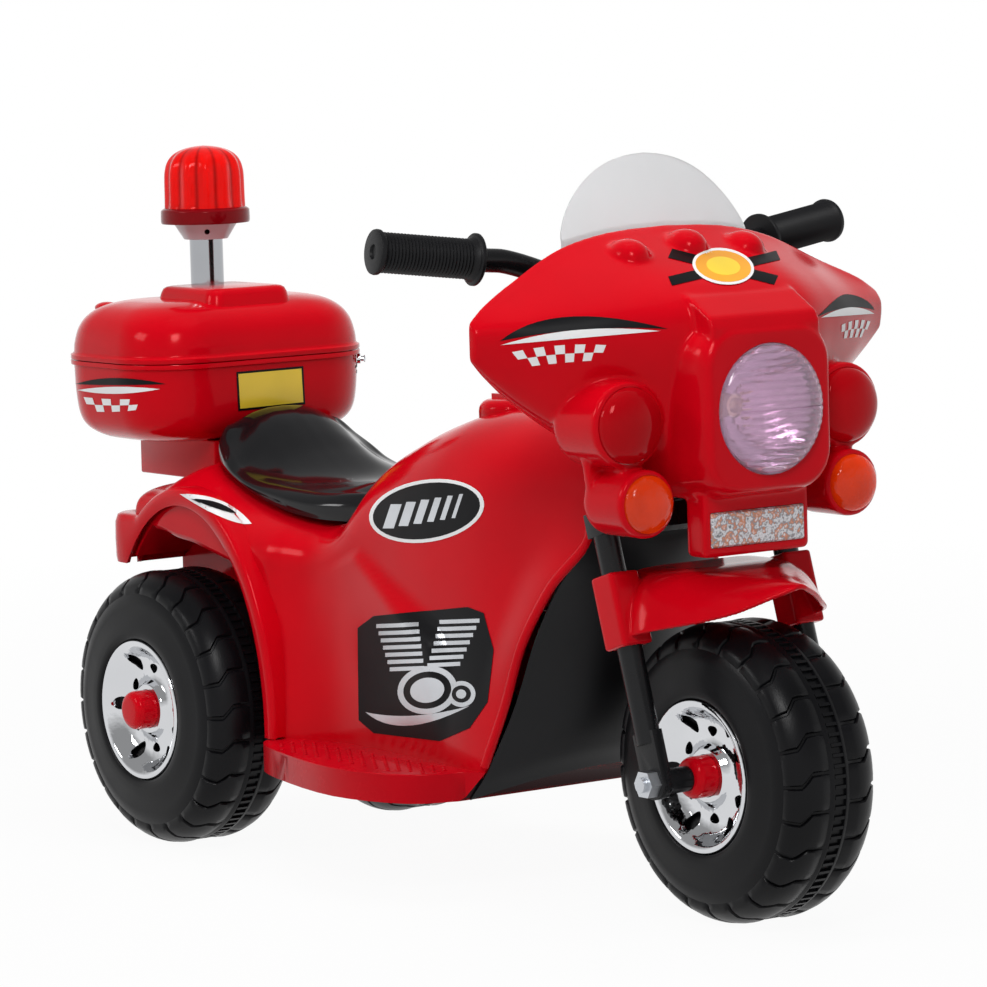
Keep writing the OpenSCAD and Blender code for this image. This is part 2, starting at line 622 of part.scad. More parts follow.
// The fluted wall of the lens, r at the outside of the flutes
module fluted(r, h) linear_extrude(h) polygon([for (i = [0:flutes * 4 - 1])
    let (q = 360 * i / (flutes * 4), k = r - 0.7 + 0.7 * cos(flutes * q)) [k * cos(q), k * sin(q)]]);
module beacon_lens() color(RED) on_pole(rim_z) difference() {
    union() {
        rotate_extrude() polygon([[0, 0], [beacon_r, 0], [beacon_r + 0.5, 2], [beacon_r, 10],
            [beacon_r - 3, 12], [0, 12]]);
        fluted(beacon_r - 3, beacon_h - dome_h);
        translate([0, 0, beacon_h - dome_h]) rotate_extrude() polygon(concat(
            [[0, 0], [beacon_r - 4, 0]], arc([beacon_r - 18, 0], 14, 0, 65, 5),
            [[beacon_r - 20, 17], [0, dome_h]]));
    }
    translate([0, 0, 3]) cylinder(r = beacon_r - 7, h = beacon_h - dome_h - 4);
}
module beacon_bulb() color("#ffe9c0") on_pole(rim_z + 3) rotate_extrude()
    polygon(concat([[0, 0], [6, 0], [6, 8], [4, 9], [4, 14]], arc([0, 14], 4, 0, 90, 5)));

/* Fork and front axle */
crown_s = -head_l / 2 - 11;
crown_t = 16;
leg_top = crown_s + 8;
axle_s = -(head_z - wheel_r) / cos(rake);
bar_s = 112;
plate_t = 8;
module on_legs() for (s = [-1, 1]) translate([0, s * fork_w / 2, 0]) children();
module steering_stem() color(DARK) difference() {
    on_stem(crown_s - crown_t / 2) cylinder(d = stem_d, h = bar_s + 12 - crown_s + crown_t / 2);
    on_stem(bar_s) rotate([90, 0, 0]) translate([0, 0, -far / 2])
        cylinder(d = bar_d + 2 * seat_gap, h = far);
}
module fork() color(DARK) on_stem() difference() {
    union() {
        translate([-9, -fork_w / 2 - leg_d / 2, crown_s - crown_t / 2]) cube([21, fork_w + leg_d, crown_t]);
        on_legs() {
            translate([0, 0, axle_s + 26]) cylinder(d = leg_d, h = leg_top - axle_s - 26);
            translate([-11, -plate_t / 2, axle_s]) cube([22, plate_t, 34]);
            translate([0, plate_t / 2, axle_s]) rotate([90, 0, 0]) cylinder(d = 22, h = plate_t);
        }
    }
    translate([0, 0, crown_s - crown_t]) cylinder(d = stem_d, h = 2 * crown_t);
    translate([0, far / 2, axle_s]) rotate([90, 0, 0]) cylinder(r = axle_r + run_gap, h = far);
}
module at_front(y, side) at_axle(rear_x + front_x, y, side) children();
fork_out = fork_w / 2 + plate_t / 2;
module front_axle() color(STEEL) at_front(-fork_out - 11, 1) cylinder(r = axle_r, h = 2 * fork_out + 22);
module nut(h) difference() {
    cylinder(d = axle_d * 1.9, h = h, $fn = 6);
    translate([0, 0, -1]) cylinder(r = axle_r, h = h + 2);
}
module fork_nuts() color(STEEL) for (s = [-1, 1]) at_front(s * fork_out, s) nut(8);
module front_spacers() color(DARK) for (s = [-1, 1]) at_front(s * (hub_half + seat_gap), s) difference() {
    cylinder(r = axle_r + 3.5, h = fork_w / 2 - plate_t / 2 - hub_half - seat_gap);
    translate([0, 0, -1]) cylinder(r = axle_r + run_gap, h = far);
}
module front_wheel() at_front(0, 1) tyre();
module front_covers() for (s = [-1, 1]) at_front(0, s) wheel_cover();
module front_caps() for (s = [-1, 1]) at_front(0, s) difference() {
    hub_cap();
    cylinder(r = axle_r + 5, h = far);
}

sleeve_h = 50 / cos(rake);
sleeve_s = axle_s + (wheel_d - 16 - wheel_r) / cos(rake);
sleeve_w = leg_d + 7;
guard_w = fork_w / 2 - sleeve_w / 2 + 2;
// Guard stations along its length: place from the axle, half width, crown height over the tyre, side drop
guard_rows = [
    [-52, 1, 42, 44], [-20, 1, 38, 34], [10, 1, 34, 25], [34, 0.86, 30, 17], [52, 0.56, 27, 8],
    [62, 0.3, 26, 3]];
guard_t = 3;
module front_fender() color(RED) moulded() difference() {
    union() {
        translate([rear_x + front_x, 0, wheel_d]) skin([for (x = steps(-52, 62, 11))
            let (w = guard_w * at(guard_rows, x, 1), c = at(guard_rows, x, 2), d = at(guard_rows, x, 3),
                arch = [for (t = steps(1, -1, 12)) [x, w * t, c - d * t * t]])
            concat(arch, [for (p = back(arch)) p - [0, 0, guard_t]])]);
        on_stem(sleeve_s) on_legs() translate([0, 0, sleeve_h / 2])
            cube([sleeve_w, sleeve_w, sleeve_h], center = true);
    }
    on_stem(sleeve_s - 5) on_legs() cylinder(d = leg_d + 2 * seat_gap, h = sleeve_h + 10, $fn = 32);
}

/* Handlebar */
grip_l = 74;
grip_back = 58;
grip_rise = 136;
grip_sweep = 14;
grip_lift = 9;
grip_in = [rear_x + head_x - grip_back, bar_w / 2 - grip_l, head_z + grip_rise];
grip_end = [grip_in[0] - grip_sweep, bar_w / 2 - 1, grip_in[2] + grip_lift];
bar_mid = [rear_x + head_x - sin(rake) * bar_s, 0, head_z + cos(rake) * bar_s];
bar_rows = [
    for (p = [grip_end, grip_in, grip_in + [6, -26, -4], bar_mid + [-7, 44, 6],
        bar_mid + [0, 24, 0], bar_mid + [0, 12, 0], bar_mid]) p];
function bar_at(i) =
    let (t = [for (k = [0:len(bar_rows) - 1]) [k, each bar_rows[k]]]) [for (k = [1:3]) at(t, i, k)];
bar_steps = 18;
function flip_y(p) = [p[0], -p[1], p[2]];
module handlebar() color(DARK) moulded() {
    half = [for (i = steps(0.1, len(bar_rows) - 1, bar_steps)) bar_at(i)];
    tube(concat(half, [for (i = [bar_steps - 1:-1:0]) flip_y(half[i])]), bar_d / 2);
}
module grip() {
    d = unit(grip_end - grip_in);
    n = norm(grip_end - grip_in);
    ribs = 17;
    pitch = (n - 12) / ribs;
    translate(grip_in) rotate([0, 0, atan2(d[1], d[0])]) rotate([0, acos(d[2]), 0]) difference() {
        rotate_extrude() polygon(concat(
            [[0, 0], [grip_d / 2 + 4, 0], [grip_d / 2 + 4, 3], [grip_d / 2 + 1, 5]],
            [for (i = [0:ribs - 1]) each [
                [grip_d / 2, 8 + i * pitch], [grip_d / 2 - 0.8, 8 + (i + 0.6) * pitch]]],
            [[grip_d / 2 + 1.5, n - 3], [grip_d / 2 + 1.5, n], [0, n]]));
        translate([0, 0, -1]) cylinder(d = bar_d + 1.4, h = n - 3);
        translate([0, 0, n - 2]) cylinder(d = 6, h = 3);
    }
}
module grip_left() color(DARK) grip();
module grip_right() color(DARK) mirror([0, 1, 0]) grip();

/* Fairing */
// Fairing sections across the machine: share of the half width, then rear top edge, brow,
// panel, front lower edge and rear lower edge, each as place from the stem and height over the deck
fair_rows = [
    [0, -10, 211, 74, 164, 72, 105, 58, 54, 20, 54], [0.29, -10, 208, 71, 163, 69, 105, 56, 54, 18, 56],
    [0.52, -10, 199, 55, 158, 49, 112, 32, 72, -5, 74], [0.76, -6, 180, 32, 153, 29, 123, 12, 99, -8, 101],
    [0.92, 1, 167, 16, 152, 16, 136, 8, 120, -1, 121], [1, 4, 157, 9, 150, 9, 141, 7, 132, 4, 133]];
function fair_path(f, n) =
    let (t = [for (k = [0:4]) [k, at(fair_rows, f, 1 + 2 * k), at(fair_rows, f, 2 + 2 * k)]])
    [for (v = steps(0, 4, n)) [head_x + at(t, v, 1), deck_z + at(t, v, 2)]];
function inset(path, d) = let (m = len(path) - 1)
    [for (i = [0:m]) let (q = unit(path[min(i + 1, m)] - path[max(i - 1, 0)])) path[i] + d * [q[1], -q[0]]];
fair_y = concat(steps(-1, -0.8, 4), steps(-0.7, 0.7, 14), steps(0.8, 1, 4));
module fair_solid() skin([for (f = fair_y) [for (p = fair_path(abs(f), 16)) [p[0], f * wing_w, p[1]]]]);
module fair_hollow() skin([for (f = steps(-0.88, 0.88, 12))
    let (p = inset(fair_path(abs(f), 10), wall), m = len(p) - 1)
    [for (q = concat([[p[0][0] - 30, p[0][1]]], p, [[p[m][0] - 30, p[m][1]]])) [q[0], f * wing_w, q[1]]]]);

lamp_z = deck_z + 94;
// Rings of the headlight box: place from the stem, half width, half height
box_rows = [[25, 58, 60], [70, 56, 58], [90, 53, 55], [97, 51, 53], [100, 48, 50]];
function box_ring(x, a, b, r) = [for (p = round_rect(a, b, r)) [head_x + x, p[0], lamp_z + p[1]]];
module lamp_box() skin([for (r = box_rows) box_ring(r[0], r[1], r[2], 24)]);
module lamp_box_hollow() {
    skin([box_ring(0, 54, 56, 22), box_ring(70, 52, 54, 22), box_ring(92, 48, 50, 20)]);
    translate([head_x, 0, lamp_z]) rotate([0, 90, 0]) cylinder(d = head_d + 2 * seat_gap, h = far);
}
stop_at = [91, deck_z + 88];
stop_x = [18, 66];
signal_at = [86, deck_z + 37];
signal_x = [34, 77];
pod_wall = 3.5;
module pod(at, x, d, hollow) translate([head_x, at[0], at[1]]) rotate([0, 90, 0])
    if (hollow) translate([0, 0, x[0] + 4]) cylinder(d = d + 2 * seat_gap, h = far, $fn = 36);
    else translate([0, 0, x[0]]) cylinder(d = d + 2 * pod_wall, h = x[1] - x[0], $fn = 36);
module pods(hollow) both_sides() {
    pod(stop_at, stop_x, lamp_d, hollow);
    pod(signal_at, signal_x, signal_d, hollow);
}
web_x = head_x + 36;
chin_w = 46;
holder_x = [head_x + 62, head_x + 82];
holder_z = [deck_z - 2, deck_z + 44];
holder_w = 44;
module chin() {
    both_sides() along(web_x, web_x + 6) {
        hull() {
            translate(stop_at) circle(r = 22);
            translate(signal_at) circle(r = 19);
        }
        hull() {
            translate([signal_at[0] - 16, signal_at[1]]) circle(r = 12);
            translate([chin_w - 10, deck_z + 50]) circle(r = 14);
        }
    }
    translate([web_x, -chin_w, deck_z + 36]) cube([holder_x[1] - web_x - 4, 2 * chin_w, 16]);
    translate([holder_x[0], -holder_w, holder_z[0]])
        cube([holder_x[1] - holder_x[0], 2 * holder_w, holder_z[1] - holder_z[0]]);
}
plate_size = [3, 78, 23];
plate_z = deck_z + 16;
boss_at = [62, deck_z + 140];
boss_d = 9;
// Bosses inside the fairing that carry it on the dash panel
module fair_bosses() intersection() {
    both_sides() translate([dash_x[1], boss_at[0], boss_at[1]]) rotate([0, 90, 0])
        cylinder(d = boss_d, h = far, $fn = 16);
    fair_solid();
}
bump_y = [-48, 0, 48];
module hood_bumps() for (y = bump_y) translate([head_x + 12, y, deck_z + 199 - abs(y) * 0.08])
    scale([1.3, 1.1, 0.8]) sphere(r = 13, $fn = 12);
module fairing() color(RED) at_rear() moulded() {
    difference() {
        union() {
            fair_solid();
            lamp_box();
            pods(false);
            chin();
            hood_bumps();
        }
        fair_hollow();
        lamp_box_hollow();
        pods(true);
        translate([holder_x[1] - 1.5, -plate_size[1] / 2 - seat_gap, plate_z - plate_size[2] / 2 - seat_gap])
            cube([9, plate_size[1] + 2 * seat_gap, plate_size[2] + 2 * seat_gap]);
        translate([holder_x[0] - 1, wall - holder_w, holder_z[0] + wall])
            cube([14, 2 * (holder_w - wall), 30]);
    }
    fair_bosses();
}
module number_plate() color("#b9bec4") at_rear()
    translate([holder_x[1] - 1.5, -plate_size[1] / 2, plate_z - plate_size[2] / 2]) cube(plate_size);

dash_x = [head_x + 3, head_x + 6];
button_y = 24;
button_z = deck_z + 172;
button_r = 7;
module dash_outline() polygon(concat(
    [for (f = steps(-0.8, 0.8, 16)) [f * wing_w, deck_z + at(fair_rows, abs(f), 2) - wall - 13]],
    [for (f = steps(0.8, -0.8, 16))
        [f * wing_w, deck_z + max(104, at(fair_rows, abs(f), 10) + wall + 3)]]));
module dash_panel() color(DARK) at_rear() difference() {
    along(dash_x[0], dash_x[1]) dash_outline();
    for (y = [-button_y, button_y]) translate([dash_x[0] - 1, y, button_z]) rotate([0, 90, 0])
        cylinder(r = button_r + 2 * run_gap, h = 6);
}
module button(y) at_rear() translate([dash_x[0], y, button_z]) rotate([0, 90, 0]) rotate_extrude()
    polygon([
        [0, -5], [button_r - 1.5, -5], [button_r, -4], [button_r, 3.2], [button_r + 2, 3.2],
        [button_r + 2, 5], [0, 5]]);
module horn_button() color("#e8b21c") button(-button_y);
module music_button() color("#e8b21c") button(button_y);
clamp_z = [deck_z + 136, deck_z + 152];
module fairing_bracket() color(DARK) difference() {
    at_rear() translate([head_x - 46, -18, clamp_z[0]])
        cube([dash_x[0] - head_x + 46, 36, clamp_z[1] - clamp_z[0]]);
    on_stem() cylinder(d = stem_d + 2 * run_gap, h = far);
}

shield_t = 2.5;
shield_w = 77;
shield_lean = 0.48;
module windshield() color("#e9edf0") at_rear() moulded() skin([for (y = steps(-shield_w, shield_w, 18))
    let (
        t = abs(y) / shield_w, low = deck_z + at(fair_rows, abs(y) / wing_w, 2) - 5,
        top = low + 7 + (shield_h - 2) * (1 - t ^ 2.4) ^ 0.62, x0 = head_x - 10 - seat_gap - shield_t,
        bow = 0.0016 * y * y, n = 4)
    concat(
        [for (z = concat([low], steps(low + 6, top, n)))
            [x0 - shield_lean * max(0, z - low - 6) - bow, y, z]],
        [for (z = concat(steps(top, low + 6, n), [low]))
            [x0 + shield_t - shield_lean * max(0, z - low - 6) - bow, y, z]])]);

module on_lamp(at, x) at_rear() both_sides()
    translate([head_x + x, at[0], at[1]]) rotate([0, 90, 0]) children();
// A bulged lens of radius r on a short skirt
module lens(r, bulge) rotate_extrude() polygon(concat(
    [[r - 2, -6], [r, -6], [r, 0]], [for (t = steps(0, 90, 6)) [r * cos(t), bulge * sin(t)]],
    [for (t = steps(90, 0, 6)) [(r - 2) * cos(t), (bulge - 2) * sin(t)]]));
module stop_lenses() color("#c01018") on_lamp(stop_at, stop_x[1]) lens(lamp_d / 2, 13);
module signal_lenses() color("#e0701c") on_lamp(signal_at, signal_x[1]) lens(signal_d / 2, 10);
module on_headlight(x) at_rear() translate([head_x + x, 0, lamp_z]) rotate([0, 90, 0]) children();
lens_x = 99;
lens_bulge = 12;
module headlight_lens() color("#e6d6da") on_headlight(lens_x) lens(head_d / 2, lens_bulge);
bowl_r = head_d / 2 - 3;
bowl_h = 30;
eye_r = 8.3;
function bowl(d) = [for (r = steps(bowl_r, eye_r, 8)) [r - d * 0.4, bowl_h * (r / bowl_r) ^ 2 - d]];
bowl_x = 60;
module headlight_reflector() color(CHROME) on_headlight(bowl_x) rotate_extrude() polygon(concat(
    bowl(0), back(bowl(2)), [[head_d / 2 - seat_gap, bowl_h - 2], [head_d / 2 - seat_gap, bowl_h + 2.7],
        [bowl_r, bowl_h + 2.7]]));
module headlight_bulb() color("#fff2d0") on_headlight(bowl_x - 5) rotate_extrude()
    polygon(concat([[0, 0], [7.2, 0], [7.2, 5], [5, 6], [5, 16]], arc([0, 16], 5, 0, 90, 5)));

/* Rear wheels and drive */
side_y = rear_track / 2;
module rear_wheel(s) at_axle(rear_x, s * side_y, s) children();
module rear_wheel_left() rear_wheel(1) tyre();
module rear_wheel_right() rear_wheel(-1) tyre();
module rear_cover_left() rear_wheel(1) wheel_cover();
module rear_cover_right() rear_wheel(-1) wheel_cover();
module rear_cap_left() rear_wheel(1) hub_cap();
module rear_cap_right() rear_wheel(-1) hub_cap();
module rear_axle() color(STEEL) at_axle(rear_x, -side_y - hub_half - 11, 1)
    cylinder(r = axle_r, h = 2 * (side_y + hub_half + 11));
module axle_nuts() color(STEEL) for (s = [-1, 1])
    at_axle(rear_x, s * (side_y + hub_half + seat_gap), s) nut(8);

gear_w = 8;
gear_gap = 3;
slow_d = slow_m * (small_z + large_z) / 2;
fast_d = fast_m * (small_z + large_z) / 2;
slow_a = 30;
fast_a = 20;
idler_at = [slow_d * cos(slow_a), wheel_r + slow_d * sin(slow_a)];
pinion_at = idler_at + fast_d * [cos(fast_a), sin(fast_a)];
box_wall = 2.5;
box_y = mid_w - 6.5;
slow_y = box_y - box_wall - 2 - gear_w;
fast_y = slow_y - gear_gap - gear_w;
case_y = fast_y - 2;
motor_y = case_y - box_wall;
sleeve_r = hub_r + 6;
idler_pin_r = 2.5;
shaft_r = 1.15;

// Involute angle at radius r on base radius b, in degrees
function spread(r, b) = let (c = acos(min(1, b / r))) tan(c) * 180 / PI - c;
function tooth(m, z, r) =
    let (p = m * z / 2, b = p * cos(20)) 0.86 * 90 / z + spread(p, b) - spread(max(r, b), b);
// Stub-tooth spur gear outline, one tooth pointing at the given angle
module gear_outline(m, z, phase) {
    p = m * z / 2;
    radii = [p - 1.05 * m, p, p + 0.8 * m];
    polygon([for (i = [0:z - 1], k = [-1, 1], r = k < 0 ? radii : back(radii))
        let (q = phase + 360 * i / z + k * tooth(m, z, r)) r * [cos(q), sin(q)]]);
}
module on_shaft(c, y) at_rear() translate([c[0], y, c[1]]) rotate([-90, 0, 0]) children();
module drive_gear() color("#e8e4d8") difference() {
    union() {
        on_shaft([0, wheel_r], slow_y) linear_extrude(gear_w) gear_outline(slow_m, large_z, -slow_a);
        on_shaft([0, wheel_r], slow_y) cylinder(r = sleeve_r, h = side_y - web / 2 - slow_y);
        on_shaft([0, wheel_r], side_y - web) for (i = [0:pegs - 1])
            rotate([0, 0, 360 * i / pegs]) translate([peg_ring, 0, 0]) cylinder(r = peg_r, h = 1.5 * web);
    }
    on_shaft([0, wheel_r], slow_y - 1) cylinder(r = axle_r + run_gap, h = far);
    on_shaft([0, wheel_r], side_y - hub_half - seat_gap) cylinder(r = hub_r + run_gap, h = far / 2);
}
module idler_gear() color("#e8e4d8") difference() {
    union() {
        on_shaft(idler_at, slow_y - gear_gap) linear_extrude(gear_w + gear_gap)
            gear_outline(slow_m, small_z, 180 / small_z - 180 - slow_a);
        on_shaft(idler_at, fast_y) linear_extrude(gear_w) gear_outline(fast_m, large_z, -fast_a);
    }
    on_shaft(idler_at, 0) cylinder(r = idler_pin_r + run_gap, h = far);
}
module motor_pinion() color(STEEL) {
    on_shaft(pinion_at, fast_y - 0.5) linear_extrude(gear_w + 1)
        gear_outline(fast_m, small_z, 180 / small_z - 180 - fast_a);
    on_shaft(pinion_at, motor_y - motor_l + 4)
        cylinder(r = shaft_r, h = fast_y + gear_w + 1 - motor_y + motor_l - 4);
}
// Outline of the gear case, seen along the axle, drawn in by d
module case_outline(d) hull() {
    translate([0, -wheel_r]) circle(r = slow_m * (large_z + 2) / 2 + 5 - d);
    translate([idler_at[0], -idler_at[1]]) circle(r = fast_m * (large_z + 2) / 2 + 5 - d);
    translate([pinion_at[0], -pinion_at[1]]) circle(r = 14 - d);
}
module case_bores() {
    on_shaft([0, wheel_r], 0) cylinder(r = axle_r + run_gap, h = far);
    on_shaft([0, wheel_r], case_y + 1) cylinder(r = sleeve_r + 1, h = far);
}
module gearbox_case() color("#3a3a3e") {
    difference() {
        on_shaft([0, 0], motor_y) linear_extrude(box_y - box_wall - motor_y) case_outline(0);
        on_shaft([0, 0], case_y) linear_extrude(far) case_outline(box_wall);
        case_bores();
        on_shaft(pinion_at, 0) cylinder(r = 7, h = far);
    }
    on_shaft(idler_at, motor_y) cylinder(r = idler_pin_r, h = box_y - box_wall - motor_y - 0.2);
}
module gearbox_cover() color("#3a3a3e") difference() {
    on_shaft([0, 0], box_y - box_wall) linear_extrude(box_wall) case_outline(0);
    case_bores();
}
module motor() color(STEEL) difference() {
    union() {
        on_shaft(pinion_at, motor_y - motor_l) cylinder(d = motor_d, h = motor_l);
        on_shaft(pinion_at, motor_y - motor_l - 3) cylinder(d = 10, h = 4);
        for (s = [-1, 1]) on_shaft(pinion_at + [s * 8, 0], motor_y - motor_l - 6)
            translate([-0.4, -2, 0]) cube([0.8, 4, 7]);
    }
    on_shaft(pinion_at, motor_y - motor_l + 3) cylinder(r = shaft_r + run_gap, h = far);
}

/* Electrics */
floor_z = pan_z + wall;
battery_size = [47, 70, 95];
battery_x = speaker_x - 115;
board_x = 185;
module battery() color("#2b3440") at_rear() translate([battery_x, -battery_size[1] / 2, floor_z]) {
    cube(battery_size);
    for (y = [14, 50]) translate([10, y, battery_size[2]]) cube([6, 1, 7]);
}
module control_board() color("#1f6b3a") at_rear() translate([board_x, 46, floor_z]) {
    cube([70, 1.6, 42]);
    translate([8, 1.6, 12]) cube([18, 8, 16]);
    translate([36, 1.6, 8]) cube([12, 5, 12]);
    translate([54, 1.6, 20]) cube([8, 7, 10]);
}
module speaker() color(DARK) at_rear() translate([speaker_x, 0, floor_z]) difference() {
    rotate_extrude() polygon([
        [0, 5], [12, 6], [22, 1.5], [22, 0], [25, 0], [25, 3], [14, 12], [14, 19], [0, 19]]);
    for (i = [0:3]) rotate([0, 0, 45 + 90 * i]) translate([19, 0, 0]) cylinder(d = 4, h = 14);
}
rocker_x = [panel_x - 17, panel_x + 3];
rocker_y = panel_y + 2;
rocker_z = panel_z + 4;
rocker_r = 11;
rocker_w = 12;
rocker_pin = 1.5;
socket_x = panel_x + 20;
module switch_panel() color(DARK) at_rear() difference() {
    translate([panel_x - panel_w / 2 + seat_gap, panel_y - 4, panel_z - panel_h / 2 + seat_gap])
        cube([panel_w - 2 * seat_gap, 11, panel_h - 2 * seat_gap]);
    for (x = rocker_x) {
        translate([x - rocker_w / 2 - 0.5, panel_y - 20, rocker_z - rocker_r - 1])
            cube([rocker_w + 1, 40, 2 * rocker_r + 2]);
        translate([x - rocker_w / 2 - 2.5, rocker_y, rocker_z]) rotate([0, 90, 0])
            cylinder(r = rocker_pin + run_gap, h = rocker_w + 5);
    }
    translate([socket_x, panel_y, rocker_z]) rotate([-90, 0, 0]) difference() {
        cylinder(d = 8, h = 20);
        cylinder(d = 2, h = 5);
    }
}
module rocker(x) at_rear() translate([x, rocker_y, rocker_z]) rotate([0, 90, 0]) {
    difference() {
        translate([0, 0, -rocker_w / 2]) cylinder(r = rocker_r, h = rocker_w);
        for (s = [-1, 1]) rotate([0, 0, s * 12]) translate([-20, 7, -10]) cube([40, 20, 20]);
    }
    translate([0, 0, -rocker_w / 2 - 2]) cylinder(r = rocker_pin, h = rocker_w + 4);
}
module power_rocker() color("#c01018") rocker(rocker_x[0]);
module direction_rocker() color("#44484c") rocker(rocker_x[1]);
pedal_tilt = 10;
pedal_t = 4.4;
module foot_pedal() color(DARK) at_rear() translate([pedal_x, pedal_y, pedal_z]) {
    rotate([-90, 0, 0]) cylinder(r = 4.5, h = pedal_w);
    translate([0, -5, 0]) rotate([-90, 0, 0]) cylinder(r = pin_r, h = pedal_w + 10);
    rotate([0, -pedal_tilt, 0]) {
        translate([0.5, 0.6, -pedal_t / 2]) cube([pedal_l, pedal_w - 1.2, pedal_t]);
        for (i = [0:5]) translate([10 + 7 * i, 3, 1]) cube([3, pedal_w - 6, 3]);
        translate([20, pedal_w / 2 - 4, -14]) cube([5, 8, 13]);
    }
}

body_shell();
base_pan();
front_apron();
steering_head();
seat();
fuel_cap();
trunk_bracket();
trunk_tub();
lid_catch();
rear_axle();
axle_nuts();
battery();
motor();
gearbox_case();
gearbox_cover();
control_board();
speaker();
switch_panel();
trunk_lid();
hinge_pin();
beacon_pole();
beacon_cup();
beacon_lens();
beacon_bulb();
steering_stem();
fork();
handlebar();
grip_left();
grip_right();
fairing();
dash_panel();
fairing_bracket();
windshield();
headlight_reflector();
headlight_lens();
headlight_bulb();
stop_lenses();
signal_lenses();
number_plate();
front_fender();
front_axle();
fork_nuts();
front_spacers();
front_wheel();
front_covers();
front_caps();
rear_wheel_left();
rear_cover_left();
rear_cap_left();
rear_wheel_right();
rear_cover_right();
rear_cap_right();
drive_gear();
idler_gear();
motor_pinion();
foot_pedal();
power_rocker();
direction_rocker();
horn_button();
music_button();
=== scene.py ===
# %% [markdown]
# A battery ride-on trike for a small child, dressed for a studio picture.
# The mechanical model is loaded first as a frame. Every Blender piece then takes the place of one of its
# nodes, or lies on one, so nothing has to be fitted by eye.

# %% Load the frame
import math
from contextlib import contextmanager

import bmesh
import bpy
import numpy as np
from mathutils import Matrix, Vector
from mathutils.bvhtree import BVHTree


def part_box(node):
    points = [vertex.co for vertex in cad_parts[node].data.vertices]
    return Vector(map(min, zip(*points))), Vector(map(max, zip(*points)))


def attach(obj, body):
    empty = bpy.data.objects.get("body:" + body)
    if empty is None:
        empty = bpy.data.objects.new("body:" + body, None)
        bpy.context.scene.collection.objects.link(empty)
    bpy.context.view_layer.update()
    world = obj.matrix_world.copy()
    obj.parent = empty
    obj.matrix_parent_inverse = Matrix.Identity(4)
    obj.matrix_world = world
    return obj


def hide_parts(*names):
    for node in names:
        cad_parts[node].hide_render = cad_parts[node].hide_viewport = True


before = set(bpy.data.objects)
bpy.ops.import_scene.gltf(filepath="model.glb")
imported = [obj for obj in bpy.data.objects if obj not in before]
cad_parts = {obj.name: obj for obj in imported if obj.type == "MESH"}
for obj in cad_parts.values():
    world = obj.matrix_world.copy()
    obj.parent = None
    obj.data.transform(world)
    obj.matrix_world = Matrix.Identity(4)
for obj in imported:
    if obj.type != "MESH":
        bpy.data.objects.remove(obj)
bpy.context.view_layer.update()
axle_low, axle_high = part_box("rear_axle")
rear_x = 500 * (axle_low.x + axle_high.x)
wheel_r = 500 * (axle_low.z + axle_high.z)
print("rear axle at x", round(rear_x, 2), "mm, wheel radius", round(wheel_r, 2), "mm")

# %% [markdown]
# The machine's main stations, in millimetres. Lengths run forward from the rear axle, because that is
# how such a toy is drawn, and one function moves them into the frame's metres at the end.

# %% Main stations
deck_z = 248.0
foot_top = 88.0
body_front = 446.0
head_x = 472.0
mid_w = 51.0
fender_w = 105.0
front_low, front_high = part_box("front_axle")
front_x = 500 * (front_low.x + front_high.x) - rear_x


def mix(a, b, t):
    """The value a share t of the way from a to b."""
    return a + (b - a) * t


def ease(t):
    """A soft step from 0 to 1."""
    c = min(1.0, max(0.0, t))
    return c * c * (3 - 2 * c)


def curve_at(rows, x, k):
    """Column k of a table of stations at place x, on a smooth curve through the rows."""
    i = 0
    while i < len(rows) - 2 and x >= rows[i + 1][0]:
        i += 1

    def slope(j):
        a, b = max(j - 1, 0), min(j + 1, len(rows) - 1)
        return (rows[b][k] - rows[a][k]) / (rows[b][0] - rows[a][0])

    h = rows[i + 1][0] - rows[i][0]
    u = (x - rows[i][0]) / h
    return ((2 * u ** 3 - 3 * u ** 2 + 1) * rows[i][k] + (u ** 3 - 2 * u ** 2 + u) * h * slope(i)
            + (3 * u ** 2 - 2 * u ** 3) * rows[i + 1][k] + (u ** 3 - u ** 2) * h * slope(i + 1))


def through(points, count):
    """A smooth line of so many points through the given ones."""
    rows = [[i, *p] for i, p in enumerate(points)]
    return [[curve_at(rows, t, k) for k in range(1, len(rows[0]))]
            for t in np.linspace(0, len(points) - 1, count)]


print("front axle", round(front_x, 1), "mm ahead of the rear one")

# %% [markdown]
# The camera stands far off with a long lens, as in the photograph, a little above the lamps' height and
# rolled slightly.

# %% Camera
azimuth, elevation, roll = math.radians(54.14), math.radians(6.04), math.radians(-1.62)
focal_px, image_px, distance = 5203.3, 987.0, 3.645
target = Vector((260 + rear_x, 0, 265)) / 1000
back = Vector((math.sin(azimuth) * math.cos(elevation), -math.cos(azimuth) * math.cos(elevation),
               math.sin(elevation)))
level_right = Vector((math.cos(azimuth), math.sin(azimuth), 0))
level_up = back.cross(level_right)
right = math.cos(roll) * level_right + math.sin(roll) * level_up
up = -math.sin(roll) * level_right + math.cos(roll) * level_up
camera_data = bpy.data.cameras.new("camera")
camera_data.sensor_width = 36.0
camera_data.lens = focal_px * camera_data.sensor_width / image_px
camera = bpy.data.objects.new("camera", camera_data)
bpy.context.scene.collection.objects.link(camera)
spot = target + back * distance
camera.matrix_world = Matrix((
    (right.x, up.x, back.x, spot.x), (right.y, up.y, back.y, spot.y),
    (right.z, up.z, back.z, spot.z), (0, 0, 0, 1)))
bpy.context.scene.camera = camera
bpy.context.scene.view_settings.view_transform = "Standard"
print("camera", round(distance, 2), "m off, lens", round(camera_data.lens), "mm")

# %% [markdown]
# Moulded plastic is never one flat colour: pigment drifts a little, the polish of the mould varies, and
# a blown or injected skin has a faint orange-peel. One builder makes all such finishes from three noises
# on Object coordinates, so the grain keeps its size on every piece.

